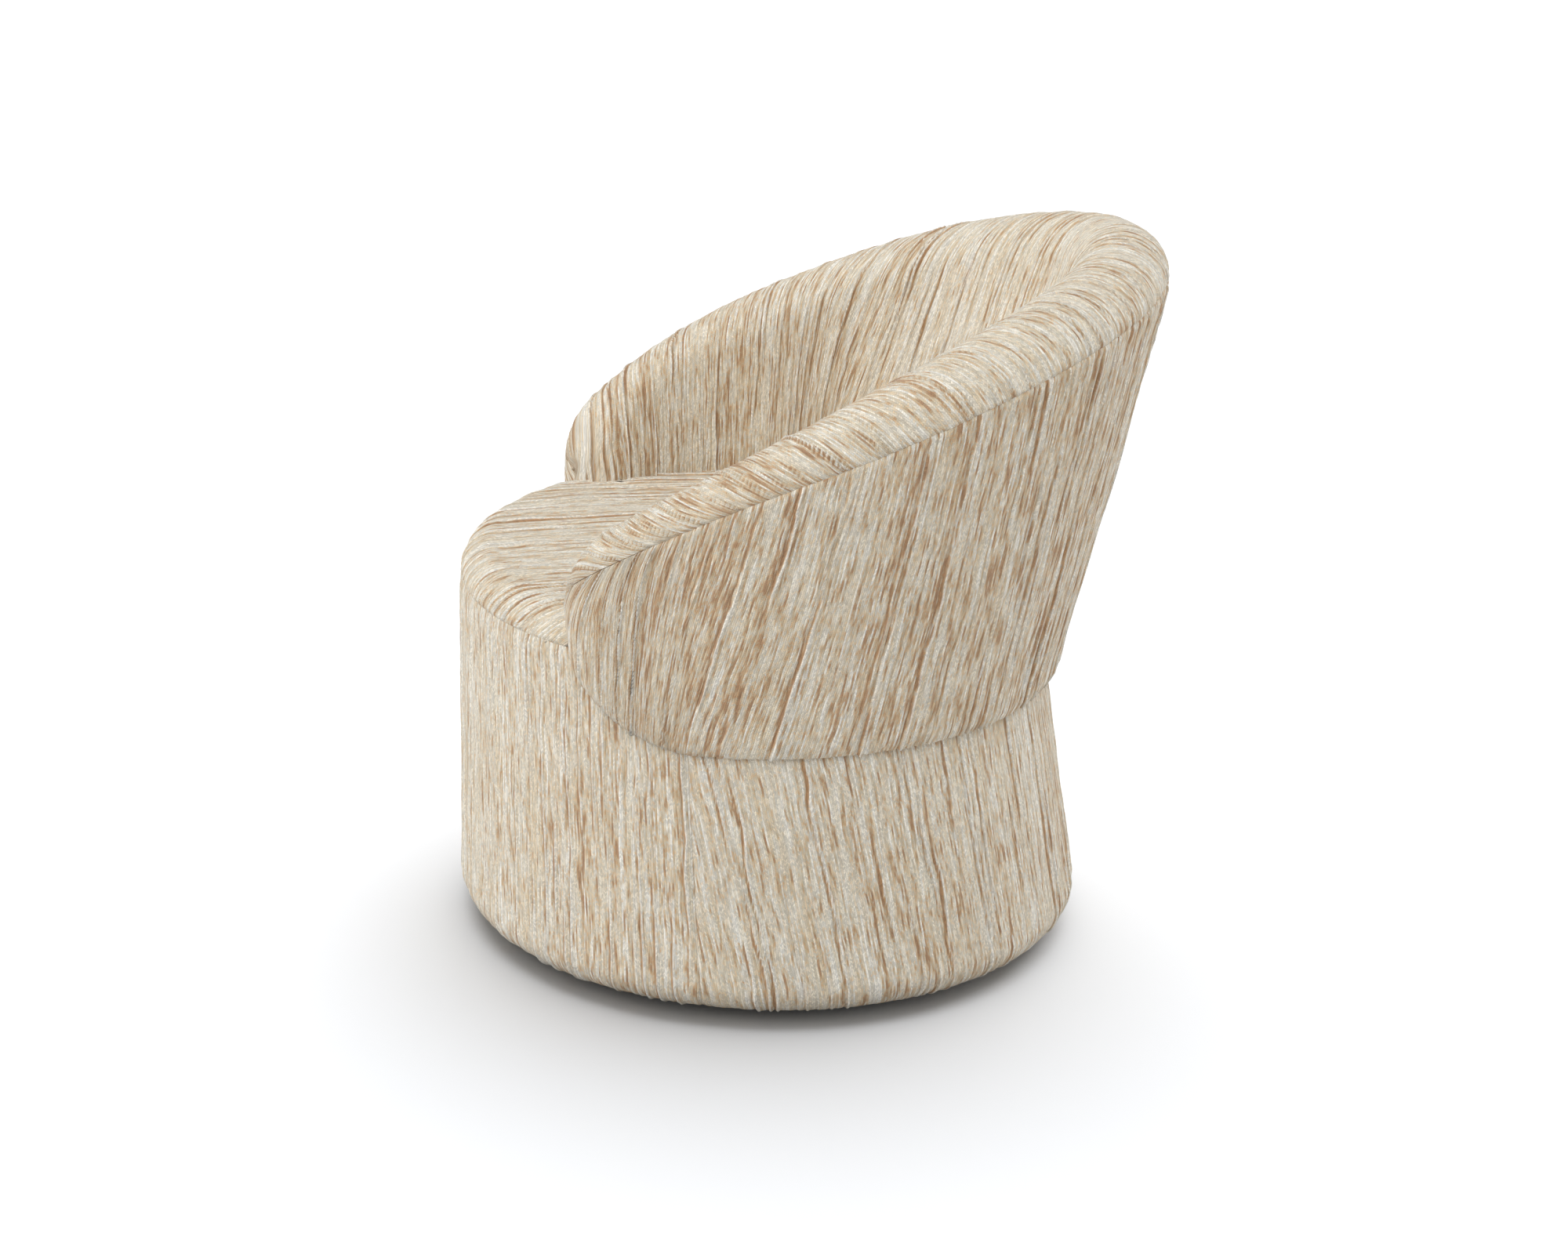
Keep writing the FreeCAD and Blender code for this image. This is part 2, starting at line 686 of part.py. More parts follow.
def make_shell_padding():
    near = cloth + layer_gap
    for side, hand in (("left", -1), ("right", 1)):
        ends = angles(frame_end_angle + angle_gap, cover_end_angle - angle_gap, 5)
        wires = [full_wire(hand * a, near + layer_gap, max(seat_ring_top, low_edge(a) + lip_height))
                 for a in ends]
        save("arm_end_foam_" + side, [loft(wires)])
    save("rim_foam", [loft([rim_foam_wire(a) for a in whole_stations])])
    save("inner_foam", [loft([inner_layer_wire(a, near, near + inner_foam_thickness)
                              for a in whole_stations])])
    save("outer_wadding", [loft([outer_layer_wire(a, near, near + outer_wadding_thickness)
                                 for a in whole_stations])])
    save("waist_pad", [loft([skirt_wire(a) for a in whole_stations[1:-1]])])


def make_shell_frame(seat_ring, ring_tools):
    save("inner_panel", [loft([inner_layer_wire(a, inner_panel_offset, inner_panel_offset + bent_board)
                               for a in whole_stations])])
    save("outer_panel", [loft([outer_layer_wire(a, panel_offset, panel_offset + bent_board)
                               for a in whole_stations])])
    rail = loft([bottom_rail_wire(a) for a in whole_stations])
    rib_screws = []
    ribs = []
    for i in range(rib_count):
        angle = (i - (rib_count - 1) / 2) * rib_pitch
        _, high_in, out = frame_edges(angle)[:3]
        fixing = screw(place(angle, ((high_in + out) / 2, seat_ring_top)), up, long_screw)
        sides = [rib_wire(angle - rib_half_angle), rib_wire(angle + rib_half_angle)]
        ribs.append(Part.makeLoft(sides, True, True).cut(fixing))
        rib_screws.append(fixing)
    bolts = []
    nuts = []
    for i in range(2 * frame_bolt_count):
        angle = (i - frame_bolt_count + 0.5) * rib_pitch
        bolts.append(bolt(place(angle, (frame_bolt_circle, seat_ring_bottom)), up,
                          rail_top + tee_flange - seat_ring_bottom))
        nuts.append(tee_nut(place(angle, (frame_bolt_circle, rail_top)), up))
    save("top_rail", [loft([top_rail_wire(a) for a in whole_stations])])
    save("shell_ribs", ribs)
    save("rib_screws", rib_screws)
    save("shell_bolts", bolts)
    save("shell_tee_nuts", nuts)
    save("bottom_rail", [drill(rail, rib_screws + bolts + nuts)])
    save("seat_ring", [drill(seat_ring, ring_tools + bolts)])


os.makedirs("parts", exist_ok=True)
make_base()
make_bearing()
plate_tools = make_upper_plate()
seat_ring, ring_tools = make_drum(plate_tools)
make_drum_skins()
make_seat()
make_shell_covers()
make_shell_padding()
make_shell_frame(seat_ring, ring_tools)
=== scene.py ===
import math
import bpy
import numpy as np
from mathutils import Matrix, Vector


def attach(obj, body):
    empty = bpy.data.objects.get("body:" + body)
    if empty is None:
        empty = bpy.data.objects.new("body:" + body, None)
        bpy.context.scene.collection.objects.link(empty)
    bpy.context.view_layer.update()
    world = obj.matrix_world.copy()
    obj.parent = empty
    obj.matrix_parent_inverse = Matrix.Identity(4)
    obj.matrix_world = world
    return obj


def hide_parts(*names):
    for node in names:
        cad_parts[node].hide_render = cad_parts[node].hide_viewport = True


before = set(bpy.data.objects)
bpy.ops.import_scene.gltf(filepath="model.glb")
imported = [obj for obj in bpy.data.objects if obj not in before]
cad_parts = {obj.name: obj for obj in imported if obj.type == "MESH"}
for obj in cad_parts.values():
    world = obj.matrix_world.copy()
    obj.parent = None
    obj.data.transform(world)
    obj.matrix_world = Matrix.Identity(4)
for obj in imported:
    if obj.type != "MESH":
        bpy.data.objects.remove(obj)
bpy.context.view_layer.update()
print("frame loaded:", len(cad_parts), "pieces")

# Swivel accent chair in slub chenille. Metres, +Z up, the chair faces -Y.
# Plan angles are in degrees round the middle of the wrap-round back: 0 behind, 131.6 each way at the tips.

drum = {
    "foot": 0.012, "footRadius": 0.330, "footRoll": 0.033,  # it clears the floor, rounded under its edge
    "seamHeight": 0.371, "seamRadius": 0.299, "seamShift": -0.032,  # narrower and forward at the seat
}
shell = {
    "centre": -0.027, "waist": 0.283, "overhang": 0.009,  # where it starts, and how far it stands out there
    "backFlare": 0.225, "sideFlare": 0.015,  # how far it leans out for each metre up
    "crest": 0.748, "fall": 0.150, "fallPower": 0.8, "dip": 0.060, "dipPower": 5.0,  # the line of the rim
    "armRoll": 0.037, "backRoll": 0.050, "swellAngle": 110.0,  # the rim's radius at the arms and behind
    "armDrop": 0.036, "backDrop": 0.045,  # how far the outer seam lies below the top of the rim
    "innerCrown": 0.006, "outerCrown": 0.003,  # how far the padding bows
    # its rounded low edge
    "lip": 0.026, "lipRise": 0.006, "lipSag": 0.004, "lipBend": 0.33, "lipSlack": 0.0005,
    "well": 0.236, "footHeight": 0.3715, "tipFoot": 0.392,  # where its inside meets the seat
    "heelAngle": 101.0, "roundAngle": 124.0, "tipAngle": 131.6,  # its low edge rises, it rounds off, it ends
    "tipHeight": 0.417, "tipSpan": 10.5,
    "seamAngle": 60.0, "seamEnd": 115.0, "seamFade": 5.0,  # the inner seams, and where the outer one dies out
    # laid flat, a straight stripe swings backwards over the sloping rim: degrees of slope at some plan angles
    "rimSlope": ((0, 12, 30, 60, 80, 100, 131), (0, 9, 16, 21, 24, 29, 36)),
}
rimEnd = shell["roundAngle"] + shell["tipSpan"]
quarterHandle = 0.5523  # a cubic span with handles this long follows a quarter circle
drawCount = 4096


def draws(seed, count=drawCount):
    return np.random.RandomState(seed).rand(count)


def smooth(x):
    x = np.clip(x, 0.0, 1.0)
    return x * x * (3 - 2 * x)


def noise(x, y, seed):
    # smooth noise from 0 to 1 over cells of size 1, the same at each run
    draw = draws(seed)
    column, row = np.floor(x).astype(int), np.floor(y).astype(int)
    right, up = smooth(x - column), smooth(y - row)

    def at(a, b):
        # an uneven mix of the cell's two numbers picks its draw
        return draw[(a * 73 + b * 1619 + ((a * b) % 57) * 31) % drawCount]

    low = at(column, row) * (1 - right) + at(column + 1, row) * right
    high = at(column, row + 1) * (1 - right) + at(column + 1, row + 1) * right
    return low * (1 - up) + high * up


# The chair's forms are those of the solids under the cloth.
def drumShare(z):
    return (z - drum["foot"]) / (drum["seamHeight"] - drum["foot"])


def drumRadius(z):
    return drum["footRadius"] + (drum["seamRadius"] - drum["footRadius"]) * drumShare(z)


def drumShift(z):
    return drum["seamShift"] * drumShare(z)


def drumSide(angle, z):
    # how far the drum's side is from the middle of the back
    a = np.radians(angle)
    shift = drumShift(z) - shell["centre"]
    return shift * np.cos(a) + np.sqrt(drumRadius(z) ** 2 - (shift * np.sin(a)) ** 2)


def outerSide(angle, z):
    # how far the outside of the back is from its middle: half an ellipse behind, part of a circle in front
    rise = z - shell["waist"]
    side = drumRadius(shell["waist"]) + shell["overhang"] + shell["sideFlare"] * rise
    back = drumShift(shell["waist"]) - shell["centre"] + drumRadius(shell["waist"]) + shell["overhang"]
    back = np.where(np.abs(angle) < 90.0, back + shell["backFlare"] * rise, side)
    a = np.radians(angle)
    return 1 / np.hypot(np.sin(a) / side, np.cos(a) / back)


def quarterTurn(angle, start, end):
    return np.sqrt(1 - np.clip((np.abs(angle) - start) / (end - start), 0, 1) ** 2)


def tipTurn(angle):
    # 1 along the rim, and 0 at the very tip of an arm
    return quarterTurn(angle, shell["roundAngle"], shell["tipAngle"])


def fullRoll(angle):
    swell = np.clip(1 - np.abs(angle) / shell["swellAngle"], 0, 1)
    return shell["armRoll"] + (shell["backRoll"] - shell["armRoll"]) * np.sin(swell * math.pi / 2)


def crestHeight(angle):
    turn = 1 - np.cos(np.radians(angle))
    fullTurn = 1 - math.cos(math.radians(shell["tipAngle"]))
    full = shell["crest"] - shell["fall"] * turn ** shell["fallPower"]
    full = full - shell["dip"] * (turn / fullTurn) ** shell["dipPower"]
    return shell["tipHeight"] + (full - shell["tipHeight"]) * tipTurn(angle)


def lowEdge(angle):
    drop = (shell["tipHeight"] - shell["waist"]) * quarterTurn(angle, shell["heelAngle"], shell["tipAngle"])
    return shell["tipHeight"] - drop


def cubic(points, t):
    s = 1 - t
    return s ** 3 * points[0] + 3 * s * s * t * points[1] + 3 * s * t * t * points[2] + t ** 3 * points[3]


def section(angle):
    # cubic spans (radius, height) round the padded back at one plan angle
    turn = float(tipTurn(angle))
    full = float(fullRoll(angle))
    wide = full * turn
    centreZ = float(crestHeight(angle)) - wide
    centreR = float(outerSide(angle, centreZ)) - full
    lean = math.atan((float(outerSide(angle, centreZ)) - float(outerSide(angle, centreZ - full))) / full)
    low = min(float(lowEdge(angle)), shell["tipFoot"])
    lip = min(low + shell["lip"] * turn, centreZ)
    topOut = np.array([centreR + wide, centreZ])
    topIn = np.array([centreR - wide, centreZ])
    peak = np.array([centreR, centreZ + wide])
    footZ = max(shell["footHeight"], low)
    foot = np.array([shell["well"] + (centreR - shell["well"]) * (1 - turn), min(footZ, centreZ)])
    lipOut = np.array([float(outerSide(angle, lip)) - (full - wide), lip])
    inside = float(drumSide(angle, low)) + shell["lipSlack"]
    lipIn = np.array([min(inside, centreR + (inside - centreR) * max(turn, 0.02)), low])
    pull = quarterHandle * wide
    way = math.atan2(topIn[0] - foot[0], max(topIn[1] - foot[1], 1e-5))
    bend = shell["lipBend"] * shell["lip"] * turn

    def bowed(start, end, bulge):
        run = end - start
        push = np.array([bulge * turn, 0.0])
        return [start, start + run / 3 + push, start + run * 2 / 3 + push, end]

    return {
        "lip": [lipIn + [0, shell["lipRise"] * turn], lipIn + [bend * 0.8, -shell["lipSag"] * turn],
                lipOut - [0, bend * 1.3], lipOut],
        "side": bowed(lipOut, topOut, shell["outerCrown"]),
        "over": [topOut, topOut + pull * np.array([math.sin(lean), math.cos(lean)]), peak + [pull, 0], peak],
        "innerOver": [peak, peak - [pull, 0], topIn + pull * np.array([math.sin(way), math.cos(way)]), topIn],
        "inner": bowed(topIn, foot, -shell["innerCrown"]),
    }


def seamShare(angle):
    # how far up the rim's outer quarter the seam runs
    armShare = float(smooth((abs(angle) - shell["seamAngle"]) / (shell["heelAngle"] - shell["seamAngle"])))
    drop = shell["backDrop"] + (shell["armDrop"] - shell["backDrop"]) * armShare
    return math.asin(max(1 - drop / float(fullRoll(angle)), 0.02)) * 2 / math.pi


def plainAngle(c):
    # the plan angle of an even step c along the rim, which closes up round the arm tip
    c = np.asarray(c, float)
    q = np.clip((np.abs(c) - shell["roundAngle"]) / shell["tipSpan"], 0, 1) * math.pi / 2
    span = shell["tipAngle"] - shell["roundAngle"]
    return np.sign(c) * (np.minimum(np.abs(c), shell["roundAngle"]) + span * np.sin(q))


def sectionLine(angle, part, count):
    # evenly spaced points of the outer or the inner cover's section, from the seam down
    spans = section(angle)
    share = seamShare(angle)
    t = np.linspace(0, 1, 50)[:, None]
    if part == "outer":
        lines = [cubic(spans["over"], share * (1 - t)), cubic(spans["side"], 1 - t),
                 cubic(spans["lip"], 1 - t)]
    else:
        lines = [cubic(spans["over"], share + (1 - share) * t), cubic(spans["innerOver"], t),
                 cubic(spans["inner"], t)]
    line = np.concatenate([lines[0], lines[1][1:], lines[2][1:]])
    away = np.concatenate([[0], np.cumsum(np.hypot(*np.diff(line, axis=0).T))])
    if away[-1] < 1e-9:
        away = np.linspace(0, 1e-9, len(away))
    at = np.linspace(0, away[-1], count)
    return np.stack([np.interp(at, away, line[:, 0]), np.interp(at, away, line[:, 1]), at], 1)


def shellGrid(part, columns, rows, lean):
    # rows x columns points of a cover; lean(c, share) shifts a column along the rim as it runs down
    around, down = 541, 160
    steps = np.linspace(-rimEnd, rimEnd, around)
    lines = np.array([sectionLine(float(plainAngle(c)), part, down) for c in steps])
    seamRows = np.array([0, 0.003, 0.006, 0.010, 0.016])  # close together, so that the seam is crisp
    share = np.concatenate([seamRows, np.linspace(0.026, 1, rows - len(seamRows))])[:, None]
    c = np.clip(lean(columns[None, :], share), -rimEnd, rimEnd)
    x = (c + rimEnd) / (2 * rimEnd) * (around - 1)
    i = np.clip(x.astype(int), 0, around - 2)
    f = (x - i)[..., None]
    y = share * (down - 1) + 0 * c
    j = np.clip(y.astype(int), 0, down - 2)
    g = (y - j)[..., None]
    point = (lines[i, j] * (1 - f) + lines[i + 1, j] * f) * (1 - g) + \
            (lines[i, j + 1] * (1 - f) + lines[i + 1, j + 1] * f) * g
    angle = np.radians(plainAngle(c))
    radius, z, away = point[..., 0], point[..., 1], point[..., 2]
    place = np.stack([radius * np.sin(angle), shell["centre"] + radius * np.cos(angle), z], -1)
    return place, c, away


print("forms ready")

# Slub chenille: thick and thin weft makes soft ridges over a fine flat ground.
chenille = {
    "ridgeCount": 900, "ridgePitch": (0.006, 0.022), "pitchPower": 1.6,  # uneven steps, more small than large
    "ridgeWidth": 0.0038, "ridgeHeight": 0.0030, "fadeLength": 0.11,  # a ridge fades and comes back
    "wander": ((0.0056, 0.045, 0.055, 1), (0.0022, 0.020, 0.018, 5)),  # amount, step across, step along, seed
    "puff": 0.0012, "puffPitch": 0.012, "puffLength": 0.09, "sink": 0.35,  # the bands between two ridges
    "yarnHeight": 0.0008, "yarnStep": (0.0035, 0.03), "pucker": 0.0009, "puckerStep": 0.05,
    "seamDepth": 0.0015, "seamWidth": 0.0020, "pinchStep": 0.006, "joinDepth": 0.30,  # a join is fainter
    "joinCalm": 0.010, "tipCalm": 0.012,  # the cloth is smoother this near to a join or an arm tip
    "thickness": 0.0028, "seamTurn": 0.0025, "turnedEdge": 60.0, "weld": 0.00002,
}


def ridges(across, along, seed):
    # gives each ridge's lift, painted pale on its crest, its flank of dye and painted shade, how pale each
    # band is, and its puff
    count = chenille["ridgeCount"]
    narrow, broad = chenille["ridgePitch"]
    lines = np.cumsum(narrow + (broad - narrow) * draws(seed, count) ** chenille["pitchPower"])
    lines = lines - lines[count // 2]
    shift = 0.0
    for amount, stepAcross, stepAlong, more in chenille["wander"]:
        shift = shift + amount * (noise(across / stepAcross, along / stepAlong, seed + more) - 0.5)
    across = across + shift
    k = np.clip(np.searchsorted(lines, across), 1, count - 1)
    near = np.where(np.abs(across - lines[k - 1]) < np.abs(across - lines[k]), k - 1, k)
    away = (across - lines[near]) / chenille["ridgeWidth"] * 2
    fade = noise(near * 3.7 + 0.5, along / chenille["fadeLength"] + near * 0.37, seed + 2)
    strength = 0.25 + 0.95 * smooth((fade - 0.25) / 0.5)
    weight = (0.45 + 0.75 * draws(seed + 3, count)[near]) * strength
    # the flank beside each ridge takes dye and a painted shade
    flank = np.exp(-((away - 1.25) / 0.75) ** 2) * weight
    paleness = draws(seed + 4, count)[k]
    sink = np.exp(-((away - 1.5) / 1.1) ** 2) * chenille["sink"]  # the cloth sinks a little beside a ridge
    wide = lines[k] - lines[k - 1]
    puff = np.sin(np.clip((across - lines[k - 1]) / wide, 0, 1) * math.pi)
    puff = puff * np.minimum(wide / chenille["puffPitch"], 1.0)
    puff = puff * (0.4 + 0.9 * noise(k * 2.3 + 0.5, along / chenille["puffLength"] + k * 0.61, seed + 6))
    return np.exp(-(away * 1.15) ** 2) * weight - sink * weight, flank, paleness, puff


def facing(place, outward):
    # unit normals of a grid of points, all to the outward side, and whether the grid itself was turned over
    n = np.cross(np.gradient(place, axis=1), np.gradient(place, axis=0))
    size = np.linalg.norm(n, axis=-1, keepdims=True)
    n = n / np.maximum(size, 1e-12)
    flip = np.sign(np.sum(n * outward, -1).mean())
    n = n * flip
    weak = size[..., 0] < np.median(size) * 0.02  # rows that close up in a point have no normal of their own
    n[weak] = outward[weak] / np.linalg.norm(outward[weak], axis=-1, keepdims=True)
    return n, flip < 0


def closedSkin(name, face, back, turned):
    # the face, a plain back and the turned edges between them
    rows, cols = face.shape[:2]
    count = rows * cols
    index = np.arange(count).reshape(rows, cols)
    front = np.stack([index[:-1, :-1], index[:-1, 1:], index[1:, 1:], index[1:, :-1]], -1).reshape(-1, 4)
    hidden = front[:, ::-1] + count
    rim = np.concatenate([index[0], index[1:, -1], index[-1, -2::-1], index[-2:0:-1, 0]])
    nextRim = np.roll(rim, -1)
    edge = np.stack([nextRim, rim, rim + count, nextRim + count], -1)
    faces = np.concatenate([front, hidden, edge])
    if turned:
        faces = faces[:, ::-1]
    mesh = bpy.data.meshes.new(name)
    mesh.from_pydata(np.concatenate([face.reshape(-1, 3), back.reshape(-1, 3)]).tolist(), [], faces.tolist())
    mesh.polygons.foreach_set("use_smooth", [True] * len(mesh.polygons))
    return mesh


def coverPiece(name, place, across, along, edgeAway, outward, cloth, joinAway=1.0, tipAway=1.0):
    # a cloth cover over a grid of points; the distances to its seam, its join and the arm tip calm the cloth
    n, turned = facing(place, outward)
    seed, relief = cloth["seed"], cloth["relief"]
    lift, flank, paleness, puff = ridges(across, along, seed)
    height = lift * chenille["ridgeHeight"] * relief + puff * chenille["puff"] * relief
    yarnAcross, yarnAlong = chenille["yarnStep"]
    yarns = noise(across / yarnAcross, along / yarnAlong, seed + 7)
    height += chenille["yarnHeight"] * (yarns - 0.5) * relief
    step = chenille["puckerStep"]
    height += chenille["pucker"] * (noise(across / step, along / step, seed + 9) - 0.5)
    groove = np.exp(-(edgeAway / chenille["seamWidth"]) ** 1.5)
    groove = np.maximum(groove, chenille["joinDepth"] * np.exp(-(joinAway / chenille["seamWidth"]) ** 1.5))
    step = chenille["pinchStep"]
    pinch = 0.5 + 0.5 * noise(across / step, along / step, seed + 11)
    height = height * (1 - 0.8 * groove) - chenille["seamDepth"] * groove * pinch
    height = height * (0.25 + 0.75 * smooth(joinAway / chenille["joinCalm"]))
    height = height * smooth(tipAway / chenille["tipCalm"])
    face = place + n * height[..., None]
    back = place - n * (chenille["thickness"] + chenille["seamTurn"] * groove)[..., None]
    mesh = closedSkin(name, face, back, turned)

    # the weave map is in metres, across and along the yarns
    corner = np.zeros(len(mesh.loops), int)
    mesh.loops.foreach_get("vertex_index", corner)
    weave = np.stack([across.ravel(), along.ravel()], 1)[corner % across.size]
    mesh.uv_layers.new(name="weave").data.foreach_set("uv", weave.ravel().astype(np.float32))
    # ridge paints a highlight on each crest, and flank a tan of dye and painted shade beside it; pale is each
    # band's own paleness less the piece's tone
    fields = {"ridge": np.clip(lift, 0, 1.3), "flank": flank, "pale": paleness - cloth["tone"]}
    for key, value in fields.items():
        field = mesh.attributes.new(key, "FLOAT", "POINT")
        field.data.foreach_set("value", np.tile(value.ravel(), 2).astype(np.float32))
    mesh.validate()
    mesh.materials.append(clothMaterial)
    piece = bpy.data.objects.new(name, mesh)
    bpy.context.scene.collection.objects.link(piece)
    weld = piece.modifiers.new("weld", "WELD")  # rows that close up in a point become one point
    weld.merge_threshold = chenille["weld"]
    bpy.context.view_layer.update()
    done = bpy.data.meshes.new_from_object(piece.evaluated_get(bpy.context.evaluated_depsgraph_get()))
    piece.modifiers.clear()
    piece.data = done
    done.name = name
    done.set_sharp_from_angle(angle=math.radians(chenille["turnedEdge"]))
    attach(piece, "chair")
    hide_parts(*standsFor[name])
    print("cover", name, len(done.polygons))


def toLinear(hexColour):
    channels = [int(hexColour[i:i + 2], 16) / 255 for i in (1, 3, 5)]
    return [c / 12.92 if c <= 0.04045 else ((c + 0.055) / 1.055) ** 2.4 for c in channels] + [1.0]


def addNode(tree, kind, settings=None, **inputs):
    # one node with its settings and links; an input is named or numbered, as in i0, with a value or a socket
    node = tree.nodes.new(kind)
    for key, value in (settings or {}).items():
        setattr(node, key, value)
    for key, value in inputs.items():
        numbered = key[0] == "i" and key[1:].isdigit()
        socket = node.inputs[int(key[1:])] if numbered else node.inputs[key.replace("_", " ")]
        if isinstance(value, bpy.types.NodeSocket):
            tree.links.new(value, socket)
        else:
            socket.default_value = value
    return node


def newMaterial(name, roughness, metallic=0.0, colour="#808080"):
    material = bpy.data.materials.new(name)
    material.use_nodes = True
    material.diffuse_color = toLinear(colour)
    shader = material.node_tree.nodes["Principled BSDF"]
    shader.inputs["Base Color"].default_value = toLinear(colour)
    shader.inputs["Roughness"].default_value = roughness
    shader.inputs["Metallic"].default_value = metallic
    return material, material.node_tree, shader


slub = {
    # pale is the colour of pale yarns and of the painted highlight on the ridges' crests; tan is dye and the
    # painted shade beside them
    "cream": "#EDE4D1", "pale": "#F6F2E8", "sand": "#D8C19C", "tan": "#BE9266", "brown": "#8E6042",
    "grey": "#D8CFBD",
    "roughness": 0.93, "specular": 0.25, "sheen": 0.12, "sheenRoughness": 0.6,
    "yarnMm": 1.9, "stitchMm": 2.2,  # the yarns lie side by side in slanted stitches
    # noise drawn out along the yarns: mm across, mm along, detail, roughness, where it starts
    "drawnOut": {"sway": (24.0, 50.0, 2.0, 0.5, 5.1), "fuzz": (1.2, 1.6, 2.0, 0.6, 4.4),
                 "cloud": (8.0, 150.0, 2.0, 0.55, 3.1), "lumps": (3.0, 40.0, 3.0, 0.6, 6.1)},
    # noise that each yarn has to itself, dyed before it is woven: mm along, roughness, where it starts
    "perYarn": {"dash": (34.0, 0.6, 11.3), "paleRun": (220.0, 0.55, 2.7), "sandRun": (160.0, 0.55, 8.3),
                "greyRun": (120.0, 0.55, 6.9)},
    # what draws the dye in or keeps it off: its middle and its weight
    # ridge keeps the dye off each crest, a painted highlight; flank draws it in beside it, dye and painted
    # shade; pale carries the piece's tone
    "dyeDrawnBy": (("cloud", 0.5, 0.26), ("pale", 0.55, -0.12), ("flank", 0.0, 0.17), ("ridge", 0.0, -0.11),
                   ("speck", 0.5, 0.15), ("fuzz", 0.5, 0.12)),
    # colours laid over each other: where each starts, is full, and how much of it there is then
    "layers": (("paleRun", 0.38, 0.62, 1.0, "pale"), ("sandRun", 0.46, 0.62, 0.5, "sand"),
               ("greyRun", 0.52, 0.62, 0.5, "grey"), ("dye", 0.48, 0.60, 0.72, "sand"),
               ("dye", 0.57, 0.70, 0.62, "tan"), ("dye", 0.66, 0.78, 0.48, "brown"),
               # the flank's tan is dye and painted shade beside each ridge, and the ridge's pale is a painted
               # highlight on its crest
               ("flank", 0.30, 0.90, 0.55, "tan"), ("ridge", 0.40, 0.95, 0.75, "pale")),
    # light and dark: from and to which measure, and the tone there
    # within and inStitch darken the gaps between yarns and stitches, and flank the side of each ridge: painted
    # shade; speck and fuzz are random tone
    "shades": (("speck", 0.0, 1.0, 0.82, 1.11), ("inStitch", 0.30, 0.5, 1.0, 0.86),
               ("within", 0.28, 0.5, 1.0, 0.86), ("fuzz", 0.3, 0.7, 0.93, 1.07),
               ("flank", 0.15, 0.9, 1.0, 0.93)),
}


